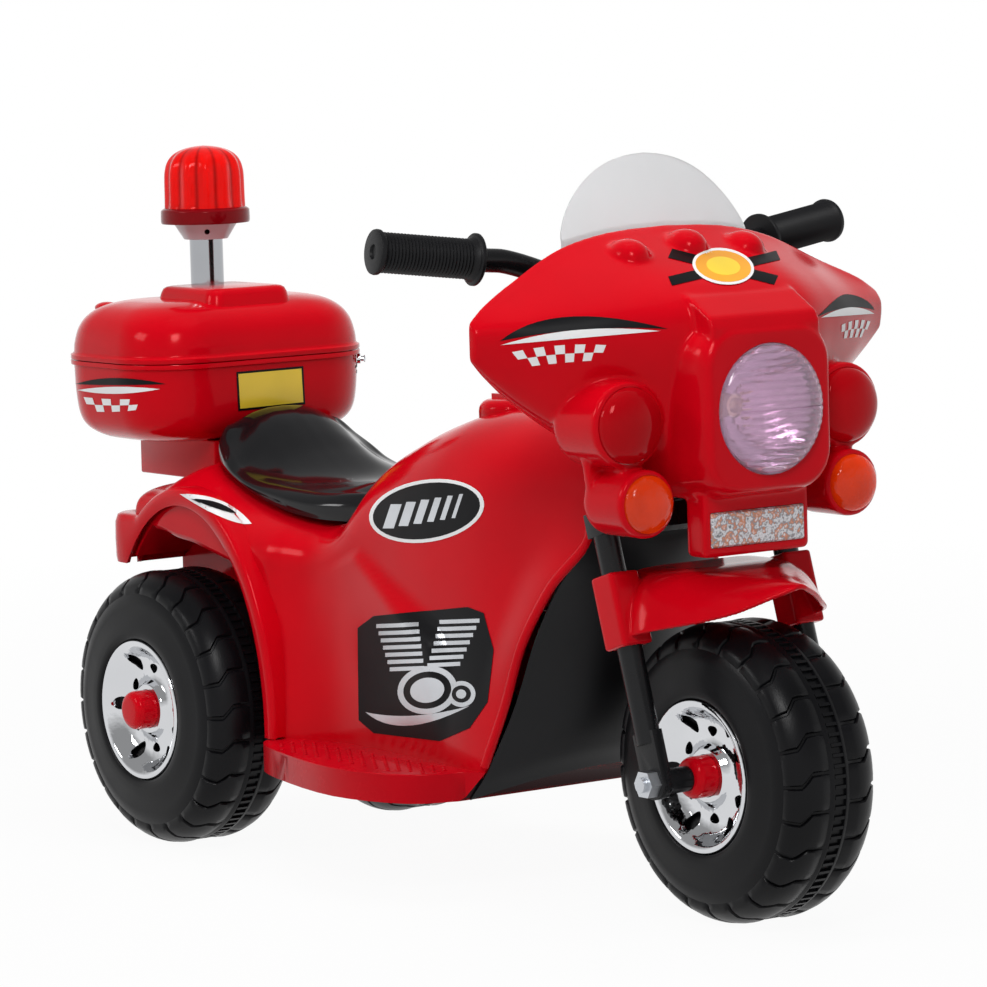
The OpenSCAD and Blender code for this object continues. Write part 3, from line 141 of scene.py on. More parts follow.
# %% Finishes
drift_scale, polish_scale = 14.0, 45.0


def finish(name, colour, rough, drift=0.06, grain=900.0, bump=0.02, metal=0.0, shift=0.06, **sockets):
    """A moulded or plated finish: colour drift, uneven polish and a fine skin."""
    material = bpy.data.materials.new(name)
    material.use_nodes = True
    tree = material.node_tree
    shader = tree.nodes["Principled BSDF"]
    place = tree.nodes.new("ShaderNodeTexCoord")

    def noise(scale, detail):
        n = tree.nodes.new("ShaderNodeTexNoise")
        n.inputs["Scale"].default_value = scale
        n.inputs["Detail"].default_value = detail
        tree.links.new(place.outputs["Object"], n.inputs["Vector"])
        return n

    ramp = tree.nodes.new("ShaderNodeValToRGB")
    ramp.color_ramp.elements[0].position = 0.3
    ramp.color_ramp.elements[1].position = 0.7
    ramp.color_ramp.elements[0].color = [c * (1 - drift) for c in colour] + [1]
    ramp.color_ramp.elements[1].color = [min(1, c * (1 + drift)) for c in colour] + [1]
    tree.links.new(noise(drift_scale, 3.0).outputs["Fac"], ramp.inputs["Fac"])
    tree.links.new(ramp.outputs["Color"], shader.inputs["Base Color"])
    polish = tree.nodes.new("ShaderNodeMapRange")
    polish.inputs["To Min"].default_value = max(0.02, rough - shift)
    polish.inputs["To Max"].default_value = rough + shift
    tree.links.new(noise(polish_scale, 4.0).outputs["Fac"], polish.inputs["Value"])
    tree.links.new(polish.outputs["Result"], shader.inputs["Roughness"])
    skin = tree.nodes.new("ShaderNodeBump")
    skin.inputs["Strength"].default_value = bump
    skin.inputs["Distance"].default_value = 0.001
    tree.links.new(noise(grain, 2.0).outputs["Fac"], skin.inputs["Height"])
    tree.links.new(skin.outputs["Normal"], shader.inputs["Normal"])
    shader.inputs["Metallic"].default_value = metal
    for socket, value in sockets.items():
        shader.inputs[socket.replace("_", " ")].default_value = value
    return material


warm = (1.0, 0.3, 0.3, 1.0)
red = finish("red_moulding", (0.6, 0.001, 0.008), 0.14, drift=0.05, bump=0.012, shift=0.05,
             Specular_IOR_Level=0.2, Specular_Tint=warm)
red_pan = finish("red_footboard", (0.5, 0.001, 0.008), 0.26, drift=0.07, bump=0.04, Specular_IOR_Level=0.2,
                 Specular_Tint=warm)
black_gloss = finish("black_seat_moulding", (0.005, 0.005, 0.006), 0.12, drift=0.2, bump=0.008, shift=0.03,
                     Specular_IOR_Level=0.35)
black = finish("black_moulding", (0.006, 0.006, 0.007), 0.27, drift=0.2, bump=0.03, Specular_IOR_Level=0.25)
black_apron = finish("black_apron_moulding", (0.006, 0.006, 0.007), 0.4, drift=0.2, grain=1400, bump=0.05,
                     Specular_IOR_Level=0.2)
black_grip = finish("black_grip_moulding", (0.006, 0.006, 0.007), 0.45, drift=0.25, grain=1800, bump=0.08,
                    Specular_IOR_Level=0.2)
tyre_black = finish("tyre_moulding", (0.004, 0.004, 0.005), 0.34, drift=0.25, grain=1100, bump=0.07, shift=0.1,
                    Specular_IOR_Level=0.14)
chrome = finish("plated_moulding", (0.74, 0.75, 0.77), 0.06, drift=0.03, bump=0.01, metal=1.0, shift=0.04)
cover_plating = finish("cover_plating", (0.64, 0.65, 0.67), 0.05, drift=0.04, grain=150, bump=0.3, metal=1.0,
                       shift=0.03)
steel = finish("zinc_steel", (0.55, 0.57, 0.6), 0.28, drift=0.1, grain=2200, bump=0.08, metal=1.0, shift=0.1)
print(len(bpy.data.materials), "materials so far")

# %% [markdown]
# Lamp lenses and the windshield let light through. The tint sits on the shader's base colour with full
# or part transmission, and the same slight unevenness keeps them from looking like flat glass.

# %% Clear and tinted plastics
# The red, beacon and amber lens finishes carry a faint emission: a painted glow, since no lit lamp stands
# behind them.
red_lens = finish("red_lens", (0.38, 0.001, 0.005), 0.06, drift=0.12, bump=0.01, shift=0.03,
                  Transmission_Weight=0.15, IOR=1.4, Specular_IOR_Level=0.25, Specular_Tint=warm,
                  Emission_Color=(1, 0.005, 0.01, 1), Emission_Strength=0.06)
rim_red = finish("beacon_rim", (0.2, 0.001, 0.004), 0.1, drift=0.12, bump=0.01, shift=0.03,
                 Specular_IOR_Level=0.3, Specular_Tint=warm)
beacon_red_painted_glow = finish("beacon_lens", (0.8, 0.008, 0.006), 0.1, drift=0.14, bump=0.01, shift=0.03,
                    Transmission_Weight=0.5, IOR=1.4, Specular_IOR_Level=0.3, Specular_Tint=warm,
                    Emission_Color=(1, 0.015, 0.005, 1), Emission_Strength=0.2)
amber_lens = finish("amber_lens", (0.85, 0.045, 0.002), 0.08, drift=0.5, grain=240, bump=0.6, shift=0.03,
                    Transmission_Weight=0.3, IOR=1.4, Emission_Color=(1, 0.05, 0.002, 1), Emission_Strength=0.1,
                    Specular_IOR_Level=0.3)
clear_lens = finish("clear_lens", (0.86, 0.64, 0.8), 0.06, drift=0.06, bump=0.01, shift=0.03,
                    Transmission_Weight=0.82, IOR=1.45)
frosted = finish("frosted_shield", (0.8, 0.81, 0.82), 0.42, drift=0.02, grain=2500, bump=0.05,
                 Transmission_Weight=0.4, IOR=1.2)
satin = finish("satin_plating", (0.56, 0.57, 0.59), 0.3, drift=0.06, bump=0.02, metal=0.1, shift=0.05)
# The pole's plating is a darker copy of the chrome: painted shade that stands in for the dark reflection on the
# pole.
pole_plating_painted_shade = finish("pole_plating_painted_shade", (0.4, 0.41, 0.43), 0.1, drift=0.05, bump=0.01, metal=1.0, shift=0.04)
bulb_glass = finish("warm_bulb", (1.0, 0.86, 0.6), 0.1, drift=0.05, Transmission_Weight=0.5)
print(len(bpy.data.materials), "materials with the clear ones")

# %% [markdown]
# Stickers and the inner workings get their own finishes: printed film is smooth with a little
# silvering, a nylon gear is milky, a circuit board green.

# %% Films and inner pieces
film_white = finish("white_film", (0.86, 0.86, 0.87), 0.22, drift=0.03, bump=0.01)
film_black = finish("black_film", (0.004, 0.004, 0.005), 0.4, drift=0.15, bump=0.01, Specular_IOR_Level=0.12)
film_silver = finish("silver_film", (0.58, 0.6, 0.63), 0.25, drift=0.12, bump=0.02, metal=0.7)
film_orange = finish("orange_film", (0.9, 0.36, 0.02), 0.24, drift=0.22, bump=0.01)
film_yellow = finish("yellow_film", (0.88, 0.62, 0.04), 0.24, drift=0.08, bump=0.01)
plate_film = finish("glitter_film", (0.42, 0.44, 0.47), 0.35, drift=0.6, grain=320, bump=0.6, metal=0.35)
speckle_scale = 260.0
speckle_tints = ((0.44, (0.75, 0.75, 0.78, 1)), (0.52, (0.25, 0.27, 0.3, 1)), (0.6, (0.6, 0.22, 0.1, 1)))
for node in plate_film.node_tree.nodes:
    if node.bl_idname == "ShaderNodeTexNoise" and node.inputs["Scale"].default_value == drift_scale:
        node.inputs["Scale"].default_value = speckle_scale
    if node.bl_idname == "ShaderNodeValToRGB":
        for place, colour in speckle_tints:
            node.color_ramp.elements.new(place).color = colour
nylon = finish("nylon_gear", (0.78, 0.75, 0.66), 0.4, drift=0.05)
case_dark = finish("gear_case", (0.03, 0.03, 0.034), 0.45, drift=0.15)
battery_dark = finish("battery_case", (0.025, 0.03, 0.04), 0.5, drift=0.15)
board_green = finish("circuit_board", (0.01, 0.14, 0.04), 0.4, drift=0.15)
button_yellow = finish("yellow_button", (0.85, 0.5, 0.02), 0.25, drift=0.06)
print(len(bpy.data.materials), "materials in all")

# %% [markdown]
# Nodes whose solid is already right keep their CAD mesh and only take a finish. Modelling them again would
# add nothing, since most of them are hidden or plainly turned and milled.

# %% Finishes of the carried-over nodes
carried = {
    black: ["steering_head", "steering_stem", "dash_panel", "fairing_bracket", "front_spacers", "speaker",
            "switch_panel", "foot_pedal", "direction_rocker"],
    steel: ["rear_axle", "axle_nuts", "motor", "hinge_pin", "front_axle", "fork_nuts", "motor_pinion"],
    chrome: ["lid_catch", "headlight_reflector"],
    pole_plating_painted_shade: ["beacon_pole"],
    satin: ["beacon_cup"],
    case_dark: ["gearbox_case", "gearbox_cover"],
    nylon: ["drive_gear", "idler_gear"],
    red: ["power_rocker"],
    battery_dark: ["battery"],
    board_green: ["control_board"],
    bulb_glass: ["beacon_bulb", "headlight_bulb"],
    button_yellow: ["horn_button", "music_button"],
}
for material, names in carried.items():
    for name in names:
        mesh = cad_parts[name].data
        mesh.materials.clear()
        mesh.materials.append(material)
print(sum(len(v) for v in carried.values()), "nodes carried over")

# %% [markdown]
# Most pieces here are skins over rows of points. These helpers turn rows into faces, rows of millimetres
# into a mesh in the frame, and hand the finished piece to its body.

# %% Mesh helpers
def rows_to_faces(rows, around):
    """Quads between rows of equal length, joined round where asked."""
    m, n = len(rows), len(rows[0])
    last = n if around else n - 1
    return [(i * n + j, i * n + (j + 1) % n, (i + 1) * n + (j + 1) % n, (i + 1) * n + j)
            for i in range(m - 1) for j in range(last)]


def skin(rows, around=True, ends=True):
    """Points and faces over rows of points; flat ends close it."""
    points = [p for row in rows for p in row]
    faces = rows_to_faces(rows, around)
    n = len(rows[0])
    if ends:
        faces.append(tuple(range(n)))
        faces.append(tuple(range(len(points) - n, len(points))))
    return points, faces


def lid_over(row):
    """One flat face over a closed row."""
    return list(row), [tuple(range(len(row)))]


def join(*parts):
    """Several sets of points and faces as one."""
    points, faces = [], []
    for p, f in parts:
        start = len(points)
        points += list(p)
        faces += [tuple(start + i for i in face) for face in f]
    return points, faces


def circle(sides):
    """Cosine and sine at equal steps round a circle."""
    return [(math.cos(2 * math.pi * j / sides), math.sin(2 * math.pi * j / sides)) for j in range(sides)]


@contextmanager
def editing(mesh):
    """A mesh opened for editing and written back at the end."""
    work = bmesh.new()
    work.from_mesh(mesh)
    yield work
    work.to_mesh(mesh)
    work.free()


def to_mesh(name, part, origin=rear_x, merge=True):
    """Points in millimetres from the rear axle become a mesh in the frame's metres."""
    mesh = bpy.data.meshes.new(name)
    mesh.from_pydata([((p[0] + origin) / 1000, p[1] / 1000, p[2] / 1000) for p in part[0]], [], part[1])
    with editing(mesh) as work:
        if merge:
            bmesh.ops.remove_doubles(work, verts=work.verts, dist=1e-5)
        bmesh.ops.recalc_face_normals(work, faces=work.faces)
    return mesh


def piece(name, mesh, body, material, nodes=(), angle=35):
    """Links a finished mesh as a piece of the object that rides on a body."""
    obj = bpy.data.objects.new(name, mesh)
    bpy.context.scene.collection.objects.link(obj)
    if material is not None:
        mesh.materials.clear()
        mesh.materials.append(material)
    mesh.shade_smooth()
    mesh.set_sharp_from_angle(angle=math.radians(angle))
    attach(obj, body)
    if nodes:
        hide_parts(*nodes)
    print(name, len(mesh.polygons), "faces")
    return obj


def baked(name, mesh, *modifiers):
    """The mesh after a stack of modifiers, each given as (kind, settings)."""
    obj = bpy.data.objects.new(name, mesh)
    bpy.context.scene.collection.objects.link(obj)
    for kind, settings in modifiers:
        modifier = obj.modifiers.new(kind.lower(), kind)
        for key, value in settings.items():
            setattr(modifier, key, value)
    result = bpy.data.meshes.new_from_object(obj.evaluated_get(bpy.context.evaluated_depsgraph_get()))
    bpy.data.objects.remove(obj)
    result.name = name
    return result


def wall(thickness, offset=-1):
    """A modifier that gives a skin its wall, inward unless told otherwise."""
    return ("SOLIDIFY", {"thickness": thickness / 1000, "offset": offset})


def fused(size, rounds):
    """Modifiers that fuse overlapping solids into one skin and soften where they meet."""
    return (("REMESH", {"mode": "VOXEL", "voxel_size": size / 1000}),
            ("SMOOTH", {"factor": 0.5, "iterations": rounds}))


def cut(mesh, *tools):
    """The mesh with each tool mesh taken away."""
    objects = [bpy.data.objects.new(f"tool_{k}", tool) for k, tool in enumerate(tools)]
    for obj in objects:
        bpy.context.scene.collection.objects.link(obj)
    result = baked(mesh.name, mesh, *[
        ("BOOLEAN", {"operation": "DIFFERENCE", "object": obj, "solver": "EXACT"}) for obj in objects])
    for obj in objects:
        bpy.data.objects.remove(obj)
    return result


# %% [markdown]
# The red body is one blown shell: rear deck, waist under the seat and tank. Its sections are a straight
# flank with a super-ellipse on top. Each row starts at the footboard, or at the wheel arch where that is
# higher, so the arch edge is a true grid line and needs no cutting.

# %% Body sections
tank_x = 190.0


def on_tank(f):
    """A place along the tank by its share of the length."""
    return mix(tank_x, body_front, f)


body_rows = [
    [-62, 96, 95, -18, 9, 4], [-40, 97, 96, -18, 14, 3.4], [-20, 97, 97, -18, 27, 2.7],
    [0, 97, 97, -22, 27, 2.5], [20, 97, 97, -24, 23, 2.5], [40, 98, 97, -28, 17, 2.5],
    [60, 98, 97, -32, 11, 2.5], [80, 99, 96, -36, 6, 2.5], [105, 100, 92, -40, 1, 2.5],
    [120, 99, 85, -40, -1, 2.4], [140, 90, 78, -40, -2, 2.3], [165, 79, 75, -34, 8, 2.3],
    [tank_x, 76, 74, -24, 40, 2.2], [on_tank(0.125), 77, 74, -16, 57, 2.2],
    [on_tank(0.25), 79, 75, -10, 69, 2.2], [on_tank(0.39), 82, 75, -5, 78, 2.2],
    [on_tank(0.59), 86, 72, -2, 81, 2.2], [on_tank(0.78), 80, 64, 0, 79, 2.2],
    [body_front + 2, 62, 54, 0, 66, 2.3]]
seat_rows = [
    [-24, 0.38, 0.7, 0.5, 29], [-18, 0.62, 1.15, 0.76, 28], [-5, 0.79, 1.36, 0.95, 26],
    [8, 0.88, 1, 1, 23], [20, 0.94, 0.74, 0.95, 20], [34, 0.97, 0.5, 0.82, 16], [54, 1, 0.5, 0.6, 10],
    [80, 1, 0.7, 0.43, 3], [105, 0.98, 0.84, 0.42, -2], [130, 0.91, 0.92, 0.55, -5],
    [150, 0.8, 1, 0.7, -6], [168, 0.64, 1, 0.76, -6]]
seat_w, seat_rim, seat_back = 69.0, 19.0, 40.0
seat_from, seat_to = seat_rows[0][0], seat_rows[-1][0]
arch_mid, arch_x, arch_z = (15.0, 95.0), 103.0, 153.0
tail_z = deck_z - 48
tier_z = deck_z - 13


def knee_ledge(x, z):
    """How far the flank stands out below the sloping ledge under the tank."""
    ledge_z = deck_z - 10 - 42 * (x - 175) / 100
    band = 6 + 13 * ease((x - 170) / 120)
    return (10.0 * ease((ledge_z - z) / band) * ease((x - 140) / 150) * ease((318 - x) / 20)
            * ease((z - foot_top) / 95))


def foot_z(x):
    """Lowest point of the flank: the arch edge, the tail or the footboard."""
    reach = 1 - ((x - arch_mid[0]) / arch_x) ** 2
    low = arch_mid[1] + arch_z * math.sqrt(reach) if reach > 0 else foot_top
    return max(low, tail_z if x < arch_mid[0] else foot_top)


def under_seat(x, y, z):
    """The deck dips under the seat."""
    if not seat_from < x < seat_to:
        return z
    half = seat_w * curve_at(seat_rows, x, 1) - 3
    base = deck_z + curve_at(seat_rows, x, 4) - 2
    return z if z < base else mix(base, z, ease((abs(y) - half) / 6))


def body_point(x, v):
    """A point of the right or left skin: v runs from 0 at the foot to 1 on the ridge."""
    wide, belt = curve_at(body_rows, x, 1), curve_at(body_rows, x, 2)
    zm, zt = deck_z + curve_at(body_rows, x, 3), deck_z + curve_at(body_rows, x, 4)
    power = 2 / curve_at(body_rows, x, 5)
    if v < 0.5:
        z = mix(foot_z(x), zm, v / 0.5)
        return mix(wide, belt, ease((z - foot_top) / (zm - foot_top))) + knee_ledge(x, z), z
    q = math.pi * (v - 0.5)
    y = belt * max(0.0, math.cos(q)) ** power
    z = zm + (zt - zm) * math.sin(q) ** power
    return y, under_seat(x, y, z)


print("arch top", arch_mid[1] + arch_z, "mm, tail at", tail_z, "mm")

# %% [markdown]
# Toward the front the rows lean until the last one lies on the edge of the black apron. The place of
# each point is found by a few rounds of trial, because the edge is given by height.

# %% Body skin
foot_front = body_front - 88
edge_rows = [
    [foot_top - 20, foot_front - 15, 88, foot_front + 24], [foot_top, foot_front, 84, foot_front + 36],
    [136, foot_front + 21, 73, foot_front + 52], [180.8, foot_front + 39, 63, foot_front + 66],
    [216, foot_front + 59, 58, foot_front + 79], [deck_z, body_front - 2, 55, body_front + 1],
    [deck_z + 14, body_front, 53, body_front], [deck_z + 66, body_front, 46, body_front]]
lean_from = 300.0


def edge_flare(z):
    """How far the front edge of the red shell is flared outward."""
    return 8 * ease((z - 120) / 70) * ease((deck_z + 12 - z) / 40)


def leaning_point(u, v):
    """A point of the front stretch, where the rows lean toward the apron's edge."""
    x = mix(lean_from, body_front, u)
    for _ in range(4):
        y, z = body_point(x, v)
        x = mix(lean_from, min(body_front, curve_at(edge_rows, min(z, deck_z + 66), 1)), u)
    return x, y + edge_flare(z) * ease((u - 0.6) / 0.4), z


def both_sides(half):
    """A full row from one half of it, left and right alike."""
    return [(p[0], -p[1], p[2]) for p in half] + half[-2::-1]


flank_steps, arch_from, plain_from = 34, -0.835, 119
side = np.concatenate([np.linspace(0, 0.5, flank_steps, endpoint=False), np.linspace(0.5, 1, flank_steps)])
arch_places = [arch_mid[0] + arch_x * math.sin(a) for a in np.linspace(arch_from, math.pi / 2, 70)]
plain_places = np.linspace(plain_from, lean_from, 56)
body_grid = [both_sides([(x, *body_point(x, v)) for v in side]) for x in [*arch_places, *plain_places]]
body_grid += [both_sides([leaning_point(u, v) for v in side]) for u in np.linspace(0, 1, 34)[1:]]
rear_roll, rear_half, rear_top = ((7, 4.5), (3, 3.2), (0.8, 1.2)), 96, 240
rear_rows = [[(p[0] - out, p[1] * (1 - inset / rear_half), p[2] - inset * (p[2] > rear_top))
              for p in body_grid[0]] for inset, out in rear_roll]
body_grid = rear_rows + body_grid
skin_part = skin(body_grid, around=False, ends=False)
rear_wall = lid_over(body_grid[0])
print(len(body_grid), "rows of", len(body_grid[0]), "points")

# %% [markdown]
# Each rear wheel stands in a well: an inner wall beside the tyre and a roof that follows the arch. The
# fender is a flared band along the arch that widens into a step round the tail.

# %% Wheel wells and fenders
tail_x, tail_y, tail_r, tail_from, tail_to = -66.0, 81.0, 24.0, 2.12, 2.386
well_end, well_foot = 2.33, 72.0


def arch_point(angle, grow=0.0):
    """A point of the wheel arch, or of a larger one round it."""
    return (arch_mid[0] + (arch_x + grow) * math.cos(angle), arch_mid[1] + (arch_z + grow) * math.sin(angle))


def well(s):
    """Roof and inner wall of one wheel well."""
    bow = [arch_point(a) for a in np.linspace(0, well_end, 44)]
    roof = [[(x, s * y, z) for y in (mid_w, 66, 82, 99)] for x, z in bow]
    wall_top = [(x, s * mid_w, z) for x, z in bow] + [(tail_x, s * mid_w, tail_z)]
    wall_low = [(p[0], p[1], well_foot) for p in wall_top]
    return join(skin(roof, False, False), skin([wall_top, wall_low], False, False))


flare, shelf_in, shelf_step, shelf_tail = 12.0, 16.0, 30.0, 34.0
lip_profile = [(0.0, 0.0), (0.12, 0.7), (0.5, 1.0), (0.85, 0.7), (1.0, -1.2)]


def fender_row(low, high, inward, top, y0):
    """One row: a rolled lip between two edges, then a shelf that runs in under the body."""
    (lx, lz), (hx, hz), (ix, iy) = low, high, inward
    row = [(mix(lx, hx, t) - ix * out, y0 - iy * out, mix(lz, hz, t)) for t, out in lip_profile]
    return row + [(hx + ix * d, y0 + iy * d, hz + min(1.2, d * 0.3)) for d in (3.5, 8, 14, top)]


def fender_rows(s):
    """Rows of the flare from the footboard over the arch and round the tail to the middle."""
    rows = [fender_row(arch_point(a), arch_point(a, flare), (0, -1), shelf_in, fender_w)
            for a in np.linspace(-0.04, tail_from, 64)]
    for t in np.linspace(0, 1, 8)[1:]:
        low, high = arch_point(mix(tail_from, tail_to, t)), (mix(-45, tail_x, t), tier_z)
        rows.append(fender_row(low, high, (0, -1), mix(shelf_in, shelf_step, t), fender_w))
    for a in np.linspace(0, math.pi / 2, 10)[1:]:
        px, py = tail_x - tail_r * math.sin(a), tail_y + tail_r * math.cos(a)
        rows.append(fender_row((px, tail_z), (px, tier_z), (math.sin(a), -math.cos(a)), shelf_tail, py))
    px = tail_x - tail_r
    rows += [fender_row((px, tail_z), (px, tier_z), (1, 0), shelf_tail, y)
             for y in np.linspace(tail_y, 0, 8)[1:]]
    return [[(p[0], s * p[1], p[2]) for p in row] for row in rows]


body_mesh = baked("body", to_mesh("body_raw", join(skin_part, rear_wall)), wall(3))
fender_part = skin(fender_rows(1) + fender_rows(-1)[::-1], False, False)
fender_mesh = baked("fender", to_mesh("fender_raw", fender_part), wall(3))
well_meshes = [baked("well", to_mesh("well_raw", well(s)), wall(2.5, 0)) for s in (1, -1)]


def merged(name, *meshes):
    """Several meshes as one mesh."""
    work = bmesh.new()
    for mesh in meshes:
        work.from_mesh(mesh)
    result = bpy.data.meshes.new(name)
    work.to_mesh(result)
    work.free()
    return result


# %% [markdown]
# The switches sit on the rider's left. The shell gets a window there, and a raised frame with rounded
# corners stands round it. The frame is a closed ring of rounded rectangles whose face leans with the body.

# %% Switch frame
panel_low, panel_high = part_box("switch_panel")
panel_x, panel_z = 500 * (panel_low.x + panel_high.x) - rear_x, 500 * (panel_low.z + panel_high.z)
panel_half = (500 * (panel_high.x - panel_low.x) + 0.7, 500 * (panel_high.z - panel_low.z) + 0.7)
frame_face, frame_lean, frame_in = 85.0, 0.105, 64.0


def round_plan(a, b, r, n=14):
    """Corners of a rounded rectangle with half sizes a and b."""
    out = []
    for k, (cx, cy) in enumerate(((a - r, b - r), (r - a, b - r), (r - a, r - b), (a - r, r - b))):
        for t in np.linspace(0, math.pi / 2, n):
            out.append((cx + r * math.cos(t + k * math.pi / 2), cy + r * math.sin(t + k * math.pi / 2)))
    return out


def frame_row(grow, y, lean=frame_lean):
    """The panel's outline, grown and at a distance from the middle."""
    plan = round_plan(panel_half[0] + grow, panel_half[1] + grow, 2 + grow, 6)
    return [(panel_x + x, y + lean * x, panel_z + z) for x, z in plan]


frame_rows = [frame_row(3.6, frame_in, 0), frame_row(3.6, frame_face - 1.5), frame_row(2.6, frame_face),
              frame_row(1, frame_face), frame_row(0, frame_face - 1.5), frame_row(0, frame_in, 0)]
switch_frame = to_mesh("switch_frame", skin(frame_rows + frame_rows[:1], True, False))
window_tool = to_mesh("window", skin([frame_row(1, 60, 0), frame_row(1, 120, 0)]))
body_mesh = cut(body_mesh, window_tool)
print(len(body_mesh.polygons), "faces in the shell with its window")

# %% [markdown]
# A rolled lip stiffens the front edge of the red shell where the apron meets it. It is a tube swept along
# that edge, and the same sweep makes the handlebar later.

# %% Swept tubes
def tube(path, radius, sides=12):
    """A round tube along a path."""
    path = [Vector(p) for p in path]
    rows = []
    for i, p in enumerate(path):
        t = (path[min(i + 1, len(path) - 1)] - path[max(i - 1, 0)]).normalized()
        s = t.cross(Vector((1, 0, 0)) if abs(t.y) > 0.7 else Vector((0, 1, 0))).normalized()
        u = t.cross(s)
        rows.append([tuple(p + radius * (c * s + q * u)) for c, q in circle(sides)])
    return skin(rows)


front_edge = body_grid[-1]
lip_path = [p for p in front_edge if p[2] > foot_top + 4]
lip_mesh = to_mesh("lip", tube([(p[0] - 2.2, p[1], p[2]) for p in lip_path], 3.4))
shell_mesh = merged("body_shell_moulding", body_mesh, fender_mesh, lip_mesh, switch_frame, *well_meshes)
body = piece("body_shell_moulding", shell_mesh, "chassis", red, ["body_shell"], angle=50)

# %% [markdown]
# The base pan with its footboards is right in the CAD, so its mesh is copied and its flat facets are
# joined. Only the outer top edge gets a broad round. The dark apron laps over the front end, so the finish
# turns black ahead of a leaning line there.

# %% Base pan
def merged_node(node):
    """A copy of a node's mesh with its flat facets joined."""
    work = bmesh.new()
    work.from_mesh(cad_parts[node].data)
    bmesh.ops.remove_doubles(work, verts=work.verts, dist=2e-5)
    bmesh.ops.dissolve_limit(work, angle_limit=math.radians(1.5), verts=work.verts, edges=work.edges)
    mesh = bpy.data.meshes.new(node)
    work.to_mesh(mesh)
    work.free()
    return mesh


def rim_rounded(mesh, z, reach, width):
    """A larger round on the outer top edges that lie at one height, beyond a reach from the middle."""
    with editing(mesh) as work:
        rim = [e for e in work.edges if len(e.link_faces) == 2
               and all(abs(1000 * v.co.z - z) < 0.2 and abs(1000 * v.co.y) > reach for v in e.verts)
               and min(f.normal.z for f in e.link_faces) < 0.3 < 0.9 < max(f.normal.z for f in e.link_faces)]
        bmesh.ops.bevel(work, geom=rim, offset=width / 1000, segments=6, profile=0.5, affect="EDGES",
                        clamp_overlap=True)
        return len(rim)


def two_tone(material, colour, lean, edge):
    """A second colour ahead of a leaning line."""
    tree = material.node_tree
    new, link = tree.nodes.new, tree.links.new
    base = tree.nodes["Principled BSDF"].inputs["Base Color"]
    first = base.links[0].from_socket
    where, parts, rise, past = (new(kind) for kind in (
        "ShaderNodeTexCoord", "ShaderNodeSeparateXYZ", "ShaderNodeMath", "ShaderNodeMath"))
    rise.operation, past.operation = "MULTIPLY_ADD", "GREATER_THAN"
    rise.inputs[1].default_value = -lean
    past.inputs[1].default_value = edge / 1000
    either = new("ShaderNodeMix")
    either.data_type = "RGBA"
    either.inputs["B"].default_value = colour
    link(where.outputs["Object"], parts.inputs[0])
    link(parts.outputs["Z"], rise.inputs[0])
    link(parts.outputs["X"], rise.inputs[2])
    link(rise.outputs[0], past.inputs[0])
    link(past.outputs[0], either.inputs["Factor"])
    link(first, either.inputs["A"])
    link(either.outputs["Result"], base)


pan_lean, pan_black = 0.75, (0.006, 0.006, 0.007, 1)
two_tone(red_pan, pan_black, pan_lean, foot_front + rear_x - pan_lean * foot_top)
pan_mesh = merged_node("base_pan")
print(rim_rounded(pan_mesh, foot_top, 86.5, 5.0), "edges of the footboards rounded")
# One rib bay under each footboard breaks its outer wall by two millimetres. A small web closes the slit.
web_plan = [(186, 133.54), (187.98, 134.0), (189.5, 132.2), (184.8, 131.2)]
web_heights = (foot_top - 20, foot_top - 2.5)
webs = join(*[skin([[(x, s * y, z) for x, y in web_plan] for z in web_heights]) for s in (1, -1)])
pan_mesh = merged("base_pan_whole", pan_mesh, to_mesh("rib_webs", webs))
piece("base_pan_moulding", pan_mesh, "chassis", red_pan, ["base_pan"])

# %% [markdown]
# Three smaller pieces are right in the CAD but have knife edges, and no moulded edge is ever sharp. A bevel
# modifier limited by angle finds those edges by itself, once the flat facets are joined.

# %% Softened copies
def softened(node, width):
    """A node's mesh with its sharp edges rounded."""
    return baked(node + "_soft", merged_node(node), ("BEVEL", {
        "width": width / 1000, "segments": 3, "limit_method": "ANGLE",
        "angle_limit": math.radians(32), "use_clamp_overlap": True}))


soft_edges = (("trunk_bracket", 3, "chassis", red), ("fork", 1.6, "steering", black),
              ("fuel_cap", 1.2, "chassis", red))
for node, width, owner, material in soft_edges:
    piece(node + "_moulding", softened(node, width), owner, material, [node])

# %% [markdown]
# The black apron closes the front of the body. Its rows run from edge to edge and bulge forward, with the
# lower rows arched up over the tyre.

# %% Front apron
def apron_row(z):
    """One row across the apron from edge to edge."""
    xe, w = curve_at(edge_rows, z, 1) + 1.8, curve_at(edge_rows, z, 2) + 0.8 * edge_flare(z)
    xc = curve_at(edge_rows, z, 3) + 4.3
    lift = 20 * ease((foot_top + 60 - z) / 84)
    return [(mix(xe, xc, 1 - t * t), t * w, z + lift * (1 - t * t)) for t in np.linspace(-1, 1, 40)]


apron_heights = np.linspace(foot_top - 20, deck_z + 64, 70)
apron_part = skin([apron_row(z) for z in apron_heights], False, False)
apron_mesh = baked("apron", to_mesh("apron_raw", apron_part), wall(4))
piece("front_apron_moulding", apron_mesh, "chassis", black_apron, ["front_apron"])

# %% [markdown]
# The seat is one glossy black moulding with a rolled rim, a scoop to sit in and a hump behind. Each
# section is a smooth line through ten points whose heights come from the station table.

# %% Seat
def seat_row(x):
    """One section across the seat."""
    w = seat_w * curve_at(seat_rows, x, 1)
    e, m = seat_rim * curve_at(seat_rows, x, 2), seat_back * curve_at(seat_rows, x, 3)
    base = deck_z + curve_at(seat_rows, x, 4) + 0.3
    half = [(w, 0), (w + 1.8, 0.3 * e), (w + 1.2, 0.6 * e), (w - 3, 0.88 * e), (w * 0.88, e),
            (w * 0.78, mix(e, m, 0.12)), (w * 0.64, mix(e, m, 0.4)), (w * 0.48, mix(e, m, 0.7)),
            (w * 0.25, mix(e, m, 0.93)), (0, m)]
    line = through(half, 46)
    return [(x, y, base + z) for y, z in line] + [(x, -y, base + z) for y, z in line[-2::-1]]


